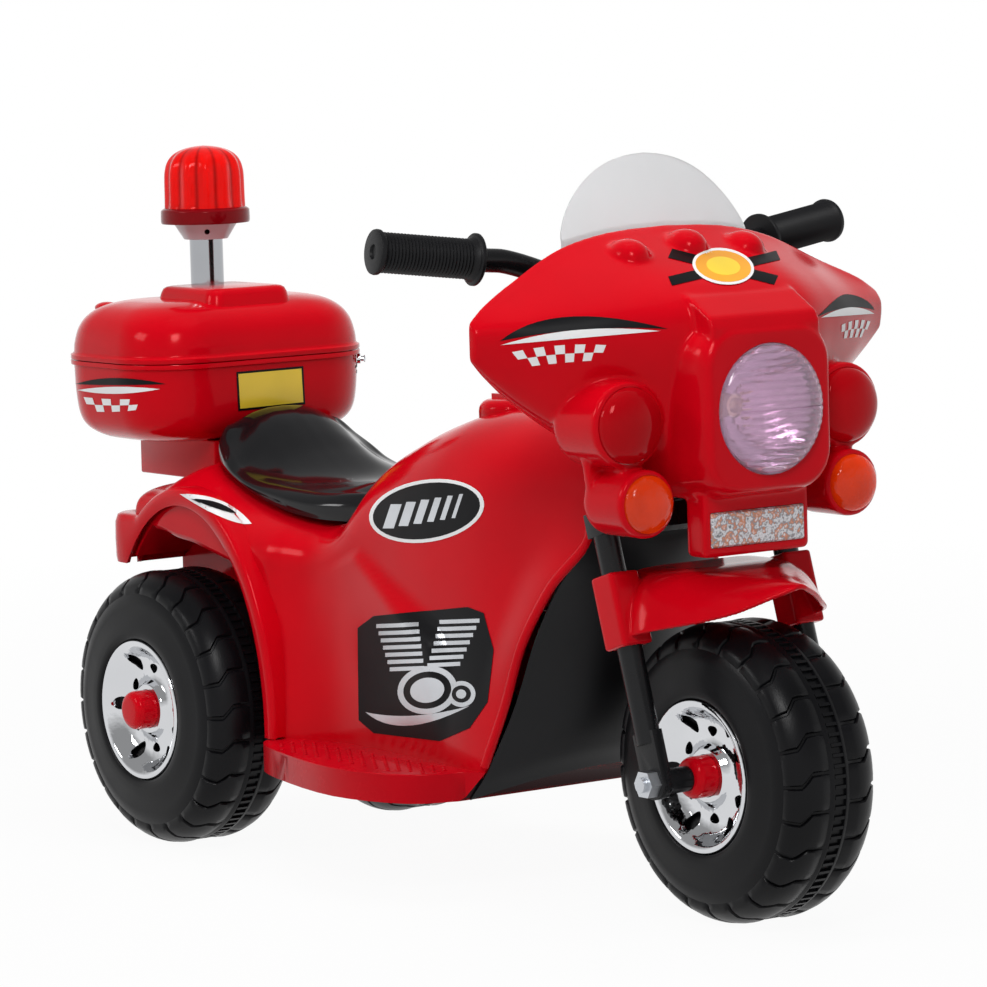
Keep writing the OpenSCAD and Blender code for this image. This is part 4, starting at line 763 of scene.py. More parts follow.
seat_places = np.concatenate([seat_from - seat_from * np.linspace(0, 1, 22) ** 1.6,
                              np.linspace(0, seat_to, 66)[1:]])
seat_grid = [seat_row(x) for x in seat_places]


def drawn_in(row, step, share):
    """The row again, a step along and drawn toward its own base, to round off an end."""
    low = min(p[2] for p in row)
    return [(p[0] + step, p[1] * share, low + (p[2] - low) * share) for p in row]


seat_grid = ([drawn_in(seat_grid[0], -5, 0.7), drawn_in(seat_grid[0], -3.4, 0.88)] + seat_grid
             + [drawn_in(seat_grid[-1], 3.2, 0.9), drawn_in(seat_grid[-1], 5, 0.76)])
piece("seat_moulding", to_mesh("seat", skin(seat_grid)), "chassis", black_gloss, ["seat"], angle=60)

# %% [markdown]
# Trunk tub and lid share one rounded-rectangle plan. Each is a stack of that plan, drawn in by a table,
# with a small rolled flange on either side of the seam.

# %% Trunk
trunk_l, trunk_w, trunk_r, trunk_back = 150.0, 204.0, 52.0, 92.0
trunk_z, tub_h, lid_h = deck_z + 39, 60.0, 43.0
seam_z = trunk_z + tub_h


def trunk_row(z, d):
    """The trunk's plan at a height, drawn in by a distance."""
    plan = round_plan(trunk_l / 2 - d, trunk_w / 2 - d, max(trunk_r - 0.6 * d, 8))
    return [(x - trunk_back, y, z) for x, y in plan]


tub_rows = [[0, 30], [0.05, 18], [0.16, 8], [0.32, 3], [0.6, 0.8], [0.93, 0.1]]
tub_line = through([(trunk_z + s * tub_h, d) for s, d in tub_rows], 30)
flange = [(seam_z - 3.9, -0.9), (seam_z - 3.4, -1.9), (seam_z - 1, -2), (seam_z - 0.2, -1.7)]
tub_grid = [trunk_row(z, d) for z, d in tub_line + [list(p) for p in flange]]
tub_part = join(skin(tub_grid, True, False), lid_over(tub_grid[0]))
tub_mesh = baked("tub", to_mesh("tub_raw", tub_part), wall(3))
tub = piece("trunk_tub_moulding", tub_mesh, "chassis", red, ["trunk_tub"], angle=40)

lid_rows = [[0.12, 0.2], [0.3, 1], [0.55, 4], [0.75, 10], [0.9, 20], [0.98, 34], [1, 46]]
lid_z = seam_z + 0.3
lid_line = through([(lid_z + s * lid_h, d) for s, d in lid_rows], 34)
lid_flange = [(lid_z + 0.2, -1.7), (lid_z + 1, -2), (lid_z + 3.4, -1.9), (lid_z + 3.9, -0.9)]
lid_grid = [trunk_row(z, d) for z, d in [list(p) for p in lid_flange] + lid_line]
lid_part = join(skin(lid_grid, True, False), lid_over(lid_grid[-1]))
lid_mesh = baked("lid", to_mesh("lid_raw", lid_part), wall(3))
block_x, block_z = 14 - trunk_back, seam_z + lid_h - 9
block_line = [(0, 0), (5, 0.6), (13, 2.6), (16, 4), (17.4, 6), (18, 9)]
block_grid = [[(block_x + x, y, block_z + z) for x, y in round_plan(42 - d, 38 - d, 12 - 0.5 * d)]
              for z, d in block_line]
block_mesh = to_mesh("block", skin(block_grid))


def dome(centre, a, b, h):
    """A low oval dome on the upper side of a skin."""
    x, y, z = centre
    return skin([[(x + a * math.cos(t) * c, y + b * math.cos(t) * q, z + h * math.sin(t))
                  for c, q in circle(28)] for t in np.linspace(-0.4, 1.5, 8)])


bump_places, bump_z = ((-52, -62), (-52, 62), (-58, 0)), lid_z + 36
lid_bumps = [to_mesh("bump", dome((x - trunk_back, y, bump_z), 13, 8, 4.5)) for x, y in bump_places]
lid_whole = merged("trunk_lid_moulding", lid_mesh, block_mesh, *lid_bumps)
piece("trunk_lid_moulding", lid_whole, "trunk_lid", red, ["trunk_lid"], angle=40)

# %% [markdown]
# The fairing carries wings, a headlight box, four lamp pods and a chin for the plate, all in one moulding
# with soft fillets between them. Each form is built as its own smooth solid. A voxel remesh then fuses
# them, a few rounds of smoothing make the fillets, and the hollows are cut last so their edges stay crisp.

# %% Fairing forms
wing_w, lamp_z = 172.0, deck_z + 94
fair_rows = [
    [0, -10, 211, 74, 164, 72, 105, 58, 54, 20, 54], [0.29, -10, 208, 71, 163, 69, 105, 56, 54, 18, 56],
    [0.52, -10, 199, 55, 158, 49, 112, 32, 72, -5, 74], [0.76, -6, 180, 32, 153, 29, 123, 12, 99, -8, 101],
    [0.92, 1, 167, 16, 152, 16, 136, 8, 120, -1, 121], [1, 4, 157, 9, 150, 9, 141, 7, 132, 4, 133]]


def fair_path(f, n):
    """The fairing's section at a share of the half width, from top to foot."""
    rows = [[k, curve_at(fair_rows, f, 1 + 2 * k), curve_at(fair_rows, f, 2 + 2 * k)] for k in range(5)]
    return [(head_x + curve_at(rows, v, 1), deck_z + curve_at(rows, v, 2)) for v in np.linspace(0, 4, n)]


def inset(path, d):
    """The path moved inward by a distance."""
    out = []
    for i, p in enumerate(path):
        a, b = path[max(i - 1, 0)], path[min(i + 1, len(path) - 1)]
        n = math.hypot(b[0] - a[0], b[1] - a[1])
        out.append((p[0] + d * (b[1] - a[1]) / n, p[1] - d * (b[0] - a[0]) / n))
    return out


def fair_hollow_row(f):
    """One section of the hollow behind the fairing."""
    path = inset(fair_path(abs(f), 30), 4.2)
    path = [(path[0][0] - 30, path[0][1] - 2)] + path[1:-1] + [(path[-1][0] - 30, path[-1][1] + 1)]
    return [(x, f * wing_w, z) for x, z in path]


def run_back(path, d):
    """The path with both ends carried back, so that the rim can be cut clean after fusing."""
    return [(path[0][0] - d, path[0][1])] + path + [(path[-1][0] - d, path[-1][1])]


def behind_rim(f):
    """Everything behind the rim at one station, to cut away."""
    (xu, zu), (xl, zl) = fair_path(abs(f), 48)[0], fair_path(abs(f), 48)[-1]
    return [(x, f * wing_w, z) for x, z in (
        (xu, zu + 25), (xu, zu), (xl, zl), (xl, zl - 25), (head_x - 95, zl - 25), (head_x - 95, zu + 25))]


fair_solid = skin([[(x, f * wing_w, z) for x, z in run_back(fair_path(abs(f), 48), 15)]
                   for f in np.linspace(-1, 1, 120)])
fair_waste = skin([[(x, f * wing_w, z) for x, _, z in behind_rim(max(-1, min(1, f)))]
                   for f in np.linspace(-1.08, 1.08, 109)])
fair_hollow = skin([fair_hollow_row(f) for f in np.linspace(-0.88, 0.88, 60)])


def box_row(x, a, b, r):
    """One section of the headlight box."""
    return [(head_x + x, y, lamp_z + z) for y, z in round_plan(a, b, r, 10)]


lamp_box = skin([box_row(x, a, b, 24) for x, a, b in
                 ((25, 58, 60), (70, 56, 58), (90, 53.5, 55.5), (96, 51.5, 53.5), (99, 49, 51))])
box_hollow = skin([box_row(0, 54, 56, 22), box_row(70, 52, 54, 22), box_row(92, 48, 50, 20)])


def spun(profile, place, sides=64):
    """A turned form along X: profile of (radius, place) about a centre."""
    return skin([[(place[0] + h, place[1] + r * c, place[2] + r * q) for c, q in circle(sides)]
                 for r, h in profile])


stop_at, stop_x, lamp_d = (91.0, deck_z + 88), (18.0, 66.0), 50.0
signal_at, signal_x, signal_d = (86.0, deck_z + 37), (34.0, 77.0), 38.0
pod_sets = [(*one, s) for one in ((stop_at, stop_x, lamp_d), (signal_at, signal_x, signal_d)) for s in (-1, 1)]


def pod(at, x, d, s):
    """The solid of one lamp pod."""
    r = d / 2 + 3.5
    return spun([(r - 6, x[0] - 2), (r - 1.5, x[0] + 1), (r, x[0] + 5), (r, x[1] - 1.2), (r - 1, x[1])],
                (head_x, s * at[0], at[1]))


def pod_room(at, x, d, s):
    """The room for one lens."""
    return spun([(d / 2 + 0.3, x[0] + 4), (d / 2 + 0.3, 140)], (head_x, s * at[0], at[1]))


def plate_box(x0, x1, y0, y1, z0, z1, r=3.0):
    """A block with rounded edges along X."""
    cy, cz = (y0 + y1) / 2, (z0 + z1) / 2
    return skin([[(x, cy + y, cz + z) for y, z in round_plan((y1 - y0) / 2 - d, (z1 - z0) / 2 - d, r, 6)]
                 for x, d in ((x0, 1), (x0 + 1, 0), (x1 - 1.2, 0), (x1, 1.2))])


def web(s):
    """The web behind a pair of lamp pods."""
    a, b = np.array(stop_at), np.array(signal_at)
    turn = np.linspace(0, math.pi, 16)
    outline = [(a[0] + 22 * math.cos(t), a[1] + 22 * math.sin(t)) for t in turn]
    outline += [(b[0] + 19 * math.cos(t + math.pi), b[1] + 19 * math.sin(t + math.pi)) for t in turn]
    arm = [(40, deck_z + 62), (38, deck_z + 36), (70, deck_z + 25), (72, deck_z + 49)]
    return join(skin([[(head_x + x, s * y, z) for y, z in outline] for x in (36, 43)]),
                skin([[(head_x + x, s * y, z) for y, z in arm] for x in (36, 43)]))


brow_line = ((30, 184), (72, 168), (93, 156), (97, 148), (97, 130), (30, 130))
brow = skin([[(head_x + x, y, deck_z + z) for x, z in brow_line] for y in (-45, 45)])
chin_w = 46.0
chin = join(plate_box(head_x + 36, head_x + 78, -chin_w, chin_w, deck_z + 36, deck_z + 52),
            plate_box(head_x + 62, head_x + 82, -44, 44, deck_z - 2, deck_z + 44))
hood_bumps = join(*[dome((head_x + 12, y, deck_z + 196 - abs(y) * 0.08), 18, 14, 13) for y in (-48, 0, 48)])
pods = join(*[pod(*one) for one in pod_sets])
print("fairing forms ready")

# %% [markdown]
# Now the forms are fused and hollowed. Sculpting could do this too, but the remesh keeps every size exact
# and can be run again after any change.

# %% Fairing moulding
fair_raw = to_mesh("fairing_raw", join(fair_solid, lamp_box, brow, pods, web(1), web(-1), chin, hood_bumps))
fair_fused = baked("fairing_fused", fair_raw, *fused(1.6, 9))
bowl_r, play = 43.3, 0.3
plate_x, plate_half, plate_low, plate_high = head_x + 80.5, 39.0, deck_z + 4.5, deck_z + 27.5
rooms = [to_mesh("room", part) for part in (
    fair_waste, fair_hollow, box_hollow, spun([(bowl_r, 60), (bowl_r, 140)], (head_x, 0, lamp_z), 96),
    *[pod_room(*one) for one in pod_sets],
    plate_box(plate_x, head_x + 95, -plate_half - play, plate_half + play, plate_low - play, plate_high + play,
              1.5),
    plate_box(head_x + 55, head_x + 75, -41, 41, deck_z + 1, deck_z + 31, 1.5))]
fairing = piece("fairing_moulding", cut(fair_fused, *rooms), "steering", red, ["fairing"], angle=45)

# %% [markdown]
# The front fender bridges the fork legs: a hood over the tyre that runs to a rounded nose, with a square
# sleeve on each leg. Hood and sleeves are fused the same way.

# %% Front fender
rake = math.radians(17)
fork_w = 146.0
guard_rows = [
    [-46, 80, 36, 41, 7], [-20, 80, 36, 40, 7], [-6, 77, 36, 37, 5], [10, 65, 34, 31, 3.6],
    [26, 52, 32, 25, 2.8], [40, 38, 31, 19, 2.4], [52, 24, 30, 11, 2.2], [59, 13, 29.5, 6, 2],
    [63.5, 5, 29, 2, 2]]
head_z = deck_z + 57


def on_stem(point):
    """From steering axes, along the stem and across, to the machine's own."""
    x, y, s = point
    return (head_x + x * math.cos(rake) - s * math.sin(rake), y,
            head_z + x * math.sin(rake) + s * math.cos(rake))


def guard_row(x):
    """One section of the hood over the front tyre."""
    w, crown, drop, power = (curve_at(guard_rows, x, k) for k in (1, 2, 3, 4))
    return [(front_x + x, w * t, 2 * wheel_r + crown - drop * abs(t) ** power)
            for t in np.sin(np.linspace(math.pi / 2, -math.pi / 2, 64))]


axle_s = -(head_z - wheel_r) / math.cos(rake)
sleeve_s = axle_s + (wheel_r - 13) / math.cos(rake)
sleeve_h = 47 / math.cos(rake)


def sleeve(side):
    """The square sleeve on one fork leg."""
    rows = [[on_stem((x, side * fork_w / 2 + y, sleeve_s + s)) for x, y in round_plan(12 - d, 12 - d, 3, 6)]
            for s, d in ((0, 1), (1, 0), (sleeve_h - 1, 0), (sleeve_h, 1))]
    return skin(rows)


guard_places = np.concatenate([np.linspace(-46, 52, 60), np.linspace(53, 63.5, 14)])
guard_part = skin([guard_row(x) for x in guard_places], False, False)
guard_mesh = baked("guard", to_mesh("guard_raw", guard_part), wall(3.4))
sleeve_mesh = to_mesh("sleeves", join(sleeve(1), sleeve(-1)))
fender_done = baked("front_fender_done", merged("front_fender_raw", guard_mesh, sleeve_mesh), *fused(0.9, 5))
piece("front_fender_moulding", fender_done, "steering", red, ["front_fender"], angle=50)

# %% [markdown]
# The frosted windshield is a thin bowed sheet on the fairing's top edge. It could be cut from a bent plane.
# Here each upright row starts on the fairing's own station table, so the foot always fits the edge.

# %% Windshield
shield_half = 77.0


def shield_row(y):
    """One upright row of the windshield."""
    t = abs(y) / shield_half
    low = deck_z + curve_at(fair_rows, abs(y) / wing_w, 2) - 5
    top = low + 7 + 45 * max(0.0, 1 - t ** 2.2) ** 0.7
    heights = np.concatenate([[low, low + 3], np.linspace(low + 6, top, 24)])
    return [(head_x - 11.6 - 0.48 * max(0, z - low - 6) - 0.0016 * y * y, y, z) for z in heights]


shield_grid = [shield_row(shield_half * math.sin(a)) for a in np.linspace(-math.pi / 2, math.pi / 2, 72)]
shield_mesh = baked("shield", to_mesh("shield_raw", skin(shield_grid, False, False)), wall(2.5, 0))
piece("windshield_sheet", shield_mesh, "steering", frosted, ["windshield"])

# %% [markdown]
# Lamp lenses are turned domes. The headlight's dome carries moulded horizontal ribs, so its rows are
# pushed in and out by height.

# %% Lenses
rib_pitch = 4.6


def lens_part(at, x, r, bulge, sides=72, ribs=0.0, rings=30):
    """A domed shell with a rim, whose outer face may carry ribs."""
    def ring_row(radius, h, ribbed=False):
        row = []
        for c, q in circle(sides):
            y, z = radius * c, radius * q
            wave = abs(math.sin(math.pi * z / rib_pitch)) ** 0.6 - 1
            push = ribs * wave if ribbed and y > -0.72 * r else 0.0
            row.append((head_x + x + h + push, at[0] + y, at[1] + z))
        return row

    profile = [(r - 2, -6), (r, -6), (r, -3), (r, 0)]
    profile += [(r * math.cos(q), bulge * math.sin(q)) for q in np.linspace(0, math.pi / 2, rings)[1:-1]]
    profile.append((0.4, bulge))
    outer = [ring_row(*p, k > 6) for k, p in enumerate(profile)]
    hollow = [((r - 2) * math.cos(q), (bulge - 2.2) * math.sin(q))
              for q in np.linspace(0, math.pi / 2, 12)[:-1]]
    inner = [ring_row(*p) for p in hollow[::-1] + [(r - 2, -4)]]
    return join(skin(outer[1:], True, False), lid_over(outer[-1]), lid_over(inner[0]),
                skin(inner + [outer[0]], True, False), skin(outer[:2], True, False))


def lens_pair(at, x, d, bulge):
    """The same lens on both sides."""
    return join(*[lens_part((s * at[0], at[1]), x[1], d / 2, bulge) for s in (-1, 1)])


head_lens_x, head_lens_r, head_bulge = 99, 43, 12
head_part = lens_part((0, lamp_z), head_lens_x, head_lens_r, head_bulge, sides=180, ribs=1.3, rings=64)
for name, part, material, node in (
        ("headlight_lens_moulding", head_part, clear_lens, "headlight_lens"),
        ("stop_lens_mouldings", lens_pair(stop_at, stop_x, lamp_d, 13), red_lens, "stop_lenses"),
        ("signal_lens_mouldings", lens_pair(signal_at, signal_x, signal_d, 10), amber_lens, "signal_lenses")):
    piece(name, to_mesh(node, part), "steering", material, [node])

# %% [markdown]
# Three blown tyres. The carcass is one turned profile. Shoulder lugs repeat round it, and so do the fine
# ribs of the middle strip, so one lug and one rib are modelled and Geometry Nodes set copies round
# the axle.

# %% A node tree for copies round an axle
def copies_tree(name, **inputs):
    """A node tree that sets copies on points, makes them real and gives them a finish."""
    tree = bpy.data.node_groups.new(name, "GeometryNodeTree")
    for label, kind in {"Geometry": "Geometry", **inputs, "Finish": "Material"}.items():
        tree.interface.new_socket(label, in_out="INPUT", socket_type="NodeSocket" + kind)
    tree.interface.new_socket("Geometry", in_out="OUTPUT", socket_type="NodeSocketGeometry")
    new, link = tree.nodes.new, tree.links.new
    source, out = new("NodeGroupInput"), new("NodeGroupOutput")
    copies, real, paint = (new("GeometryNode" + kind) for kind in (
        "InstanceOnPoints", "RealizeInstances", "SetMaterial"))
    link(copies.outputs[0], real.inputs[0])
    link(real.outputs[0], paint.inputs["Geometry"])
    link(source.outputs["Finish"], paint.inputs["Material"])
    link(paint.outputs[0], out.inputs[0])
    return tree, source, copies


def ring_tree(name):
    """Copies of the object's own mesh, turned about the Y axis through a centre."""
    tree, source, copies = copies_tree(name, Count="Int", Centre="Vector")
    new, link = tree.nodes.new, tree.links.new
    points, index = new("GeometryNodePoints"), new("GeometryNodeInputIndex")
    share, angle, turn = new("ShaderNodeMath"), new("ShaderNodeMath"), new("ShaderNodeCombineXYZ")
    share.operation, angle.operation = "DIVIDE", "MULTIPLY"
    angle.inputs[1].default_value = 2 * math.pi
    link(source.outputs["Count"], points.inputs["Count"])
    link(source.outputs["Centre"], points.inputs["Position"])
    link(index.outputs["Index"], share.inputs[0])
    link(source.outputs["Count"], share.inputs[1])
    link(share.outputs[0], angle.inputs[0])
    link(angle.outputs[0], turn.inputs["Y"])
    link(points.outputs[0], copies.inputs["Points"])
    link(source.outputs["Geometry"], copies.inputs["Instance"])
    link(turn.outputs[0], copies.inputs["Rotation"])
    return tree


def grown(name, mesh, tree, **values):
    """The plain mesh that a node tree makes from a mesh, with its named inputs set."""
    obj = bpy.data.objects.new(name, mesh)
    bpy.context.scene.collection.objects.link(obj)
    modifier = obj.modifiers.new("copies", "NODES")
    modifier.node_group = tree
    for item in tree.interface.items_tree:
        if item.in_out == "INPUT" and item.name in values:
            modifier[item.identifier] = values[item.name]
    result = bpy.data.meshes.new_from_object(obj.evaluated_get(bpy.context.evaluated_depsgraph_get()))
    obj.modifiers.remove(modifier)
    bpy.data.objects.remove(obj)
    result.name = name
    return result


ring = ring_tree("copies_round_axle")
print(ring.name, "has", len(ring.nodes), "nodes")

# %% [markdown]
# The tyre's profile runs from bead to bead over both shoulders. The lug is a pad that follows the same
# shoulder a little further out, so it sits on the carcass without any fitting.

# %% Tyre profile and lug
tyre_w, shoulder_r, cover_d = 82.0, 27.0, 102.0
seat_r = cover_d / 2 + 0.3
lug_count, rib_count = 24, 90
carcass_drop = 2.2


def shoulder(s, drop, n, reach=90.0):
    """Points over one shoulder from the tread edge to the side wall."""
    c = (wheel_r - shoulder_r, tyre_w / 2 - shoulder_r)
    return [(c[0] + (shoulder_r - drop) * math.cos(a), s * (c[1] + (shoulder_r - drop) * math.sin(a)))
            for a in np.radians(np.linspace(0, reach, n))]


def side_wall(s):
    """Points down one side wall to the bead."""
    w = tyre_w / 2
    return [(seat_r + r, s * (w - y)) for r, y in (
        (13, 0.6), (7, 0.2), (3, 0), (1, 1), (0, 2.5), (0, 7), (-6, 7), (-7, 12))]


def carcass():
    """The tyre's profile from bead to bead."""
    half = shoulder(1, carcass_drop, 18) + side_wall(1)
    strip = [(wheel_r - 0.8, 4.8), (wheel_r - 0.8, 6.2)]
    line = half[::-1] + [(wheel_r - carcass_drop, 9)] + strip[::-1]
    line += [(wheel_r - 2.6, 4.2), (wheel_r - 2.6, -4.2)]
    line += [(r, -y) for r, y in strip] + [(wheel_r - carcass_drop, -9)] + [(r, -y) for r, y in half]
    return line


def turned_y(profile, sides=144):
    """Rows of a form turned about the Y axis through the origin."""
    return [[(r * c, y, r * q) for c, q in circle(sides)] for r, y in profile]


pad_profile = ((-1, 0), (-0.97, 0.6), (-0.9, 0.95), (-0.5, 1), (0, 1), (0.5, 1), (0.9, 0.95), (0.97, 0.6),
               (1, 0))
crook_at, lug_start, lug_reach, lug_sink = 0.45, 8.0, 62, 0.985


def lug(s, shift):
    """One lug over a shoulder: a rounded pad with a crooked edge."""
    rows = []
    pitch = 2 * math.pi / lug_count
    low = carcass_drop + 0.5
    line = [(wheel_r, s * lug_start)] + shoulder(s, 0, 12, lug_reach)
    base = [(wheel_r - low, s * lug_start)] + shoulder(s, low, 12, lug_reach)
    for k, ((r, y), (rb, yb)) in enumerate(zip(line, base)):
        t = k / (len(line) - 1)
        crook = (1 if t > crook_at else -1) * min(1, abs(t - crook_at) * 8)
        fade = min(1.0, (1 - t) * 5 + 0.25, t * 9 + 0.4)
        row = []
        for f, h in pad_profile:
            a = shift + s * pitch * 0.16 * crook + f * pitch * 0.47
            rr, yy = mix(rb, r, h * fade), mix(yb, y, h * fade)
            row.append((rr * math.cos(a), yy, rr * math.sin(a)))
        rows.append(row)
    ends = [[tuple(lug_sink * c for c in p) for p in row] for row in (rows[0], rows[-1])]
    return skin([ends[0]] + rows + [ends[1]])


def plain_mesh(name, part):
    """A mesh about the origin, to be moved to its axle."""
    return to_mesh(name, part, origin=0.0, merge=False)


def rib():
    """One fine cross rib of the middle strip."""
    half = 0.45 * math.pi / rib_count
    section = ((-half, 2.8), (-half * 0.7, 0.7), (half * 0.7, 0.7), (half, 2.8))
    return skin([[((wheel_r - d) * math.cos(a), y, (wheel_r - d) * math.sin(a)) for a, d in section]
                 for y in (-4.4, 4.4)])


print(lug_count, "lugs on a shoulder,", rib_count, "ribs round the middle")

# %% [markdown]
# Each wheel gets the same carcass, two rings of lugs and one of ribs, moved to its own axle.

# %% Tyres
def moved(mesh, centre):
    """The mesh moved to a centre."""
    mesh.transform(Matrix.Translation(centre))
    return mesh


half_track = 96.0
wheel_centres = {
    "front_wheel": Vector((front_x + rear_x, 0, wheel_r)) / 1000,
    "rear_wheel_left": Vector((rear_x, half_track, wheel_r)) / 1000,
    "rear_wheel_right": Vector((rear_x, -half_track, wheel_r)) / 1000}
hub_bore = [(18, -8), (18, 8)]
carcass_line = carcass() + hub_bore
for wheel, centre in wheel_centres.items():
    hull_rows = turned_y(carcass_line + [carcass_line[0]])
    shell = moved(plain_mesh("carcass", skin(hull_rows, True, False)), centre)
    lugs = [grown("lugs", plain_mesh("lug", lug(s, s * math.pi / lug_count / 2)), ring, Count=lug_count,
                  Centre=centre, Finish=tyre_black) for s in (-1, 1)]
    ribs = grown("ribs", plain_mesh("rib", rib()), ring, Count=rib_count, Centre=centre, Finish=tyre_black)
    piece(wheel + "_tyre", merged(wheel + "_tyre", shell, *lugs, ribs), wheel, tyre_black, [wheel], angle=40)

# %% [markdown]
# Plated wheel covers are pressed dishes with two rings of openings, and red caps close the hubs. Both are
# turned profiles. The openings are cut by oval pegs, so their edges go straight through as in a real press.

# %% Wheel covers and hub caps
cap_d = 28.0


def cover_line():
    """Profile of the dish: outer rim, slope, floor and collar, then back along its inner face."""
    r, h, collar = cover_d / 2, tyre_w / 2, cap_d / 2
    dish = ((0, 5), (0, 1.5), (0.6, 0.5), (2, 0), (3.6, 0.4), (5, 1.4), (8, 6), (11, 10), (14, 13), (19, 14.6),
            (24, 15))
    neck = ((8, 14), (6, 12.5), (4.6, 9), (3.6, 8), (0.3, 8))
    top = [(r - a, h - b) for a, b in dish] + [(collar + a, h - b) for a, b in neck]
    return top + [(max(collar + 0.3, a - (2 if a > 48 else 0)), b - 2) for a, b in reversed(top)]


def peg(radius, angle, stretch=1.0):
    """A cutting peg parallel to the axle, oval where stretched."""
    rows = []
    for y in (0.0, 120.0):
        row = []
        for c, q in circle(20):
            a, b = radius + stretch * 6.4 * c, (4.6 + 1.8 * c) * q
            row.append((a * math.cos(angle) - b * math.sin(angle), y,
                        a * math.sin(angle) + b * math.cos(angle)))
        rows.append(row)
    return skin(rows)


line = cover_line()
cover_raw = plain_mesh("cover", skin(turned_y(line + [line[0]], 112), True, False))
openings = 6
turns = [2 * math.pi * i / openings for i in range(openings)]
pegs = [plain_mesh("peg", peg(cover_d / 2 - 14, a)) for a in turns]
pegs += [plain_mesh("peg", peg(cover_d / 2 - 22, a + math.pi / openings, stretch=0.55)) for a in turns]
cover_mesh = cut(cover_raw, *pegs)
cap_r, cap_end, cap_round = cap_d / 2, 49.0, 6.0
cap_line = [(cap_r - 2, 30), (cap_r, 30), (cap_r, cap_end - cap_round)]
cap_line += [(cap_r - cap_round + cap_round * math.cos(a), cap_end - cap_round + cap_round * math.sin(a))
             for a in np.linspace(0, math.pi / 2, 8)[1:]]
cap_mesh = plain_mesh("cap", skin(turned_y(cap_line + [(0.3, cap_end)], 64)))


def sided(mesh, side, centre):
    """A copy of a wheel piece, turned to face its own side."""
    copy = mesh.copy()
    if side < 0:
        copy.transform(Matrix.Rotation(math.pi, 4, "Z"))
    return moved(copy, centre)


for owner, sides, cover_node, cap_node in (
        ("rear_wheel_left", (1,), "rear_cover_left", "rear_cap_left"),
        ("rear_wheel_right", (-1,), "rear_cover_right", "rear_cap_right"),
        ("front_wheel", (1, -1), "front_covers", "front_caps")):
    for node, ending, mesh, material in (
            (cover_node, "_plated", cover_mesh, cover_plating), (cap_node, "_moulded", cap_mesh, red)):
        copies = [sided(mesh, s, wheel_centres[owner]) for s in sides]
        piece(node + ending, merged(node, *copies), owner, material, [node])

# %% [markdown]
# The beacon is a fluted translucent dome on a rim, above a plated cup and pole. Its rows are circles whose
# radius dips with the angle. The shader paints shade down the valleys by the same angle: darker lines that
# stand in for the shade in the flutes.

# %% Beacon
pole_x, rim_z, rim_h = -trunk_back - 8, 445.3, 12.0
flutes = 12


def beacon_row(r, z, depth, sides=144):
    """One level of the beacon, with flutes of a given depth."""
    row = []
    for j in range(sides):
        q = 2 * math.pi * j / sides
        k = r - depth * (0.5 - 0.5 * math.cos(flutes * q))
        row.append((pole_x + k * math.cos(q), k * math.sin(q), rim_z + z))
    return row


beacon_line = [
    (33, 0, 0), (33.5, 2, 0), (33.4, 8, 0), (33, 10, 0), (30.6, 11.6, 0), (30.4, 12.4, 2.0), (30.2, 20, 2.6),
    (30, 34, 2.6), (29.4, 40, 2.4), (27.8, 45.5, 1.8), (24.6, 50.2, 1.2), (20, 53.6, 0.6), (14, 56, 0.2),
    (7, 57.4, 0), (0.4, 58, 0)]
inner_line = [(0.4, 54, 0), (12, 52.5, 0), (22, 47, 0), (26, 40, 0), (26, 4, 0), (26, 3, 0), (0.4, 3, 0)]
beacon_mesh = to_mesh("beacon", join(skin([beacon_row(*p) for p in through(beacon_line, 60)]),
                                     skin([beacon_row(*p, 48) for p in inner_line])))


def paint_valley_shade(material, count, x, depth):
    """Painted shade: darker lines down the valleys of a fluted wall, by the angle about its axis."""
    tree = material.node_tree
    new, link = tree.nodes.new, tree.links.new
    base = tree.nodes["Principled BSDF"].inputs["Base Color"]
    first = base.links[0].from_socket
    where, shift, angle, turns, part, shade, tint = (new("ShaderNode" + kind) for kind in (
        "TexCoord", "Mapping", "TexGradient", "Math", "Math", "ValToRGB", "Mix"))
    shift.inputs["Location"].default_value = (-x / 1000, 0, 0)
    angle.gradient_type = "RADIAL"
    turns.operation, part.operation = "MULTIPLY", "FRACT"
    turns.inputs[1].default_value = count
    ends = shade.color_ramp.elements
    ends[0].position, ends[0].color = 0.34, (1, 1, 1, 1)
    ends[1].position, ends[1].color = 0.66, (1, 1, 1, 1)
    ends.new(0.5).color = (depth, depth, depth, 1)
    tint.data_type, tint.blend_type = "RGBA", "MULTIPLY"
    tint.inputs["Factor"].default_value = 1.0
    link(where.outputs["Object"], shift.inputs["Vector"])
    link(shift.outputs["Vector"], angle.inputs["Vector"])
    link(angle.outputs["Fac"], turns.inputs[0])
    link(turns.outputs[0], part.inputs[0])
    link(part.outputs[0], shade.inputs["Fac"])
    link(first, tint.inputs["A"])
    link(shade.outputs["Color"], tint.inputs["B"])
    link(tint.outputs["Result"], base)
    link(tint.outputs["Result"], tree.nodes["Principled BSDF"].inputs["Emission Color"])


# The beacon lens gets painted shade down its flute valleys, on its colour and on its glow.
paint_valley_shade(beacon_red_painted_glow, flutes, pole_x + rear_x, 0.5)
# The dome's finish carries a faint painted glow.
beacon_mesh.materials.append(beacon_red_painted_glow)
beacon_mesh.materials.append(rim_red)
for face in beacon_mesh.polygons:
    face.material_index = 1 if face.center.z < (rim_z + rim_h) / 1000 else 0
piece("beacon_lens_moulding", beacon_mesh, "trunk_lid", None, ["beacon_lens"])

# %% [markdown]
# The handlebar is a swept tube. Its path is a smooth line through a few points, from the end of one grip
# through the stem, and its other half is the mirror of the first.

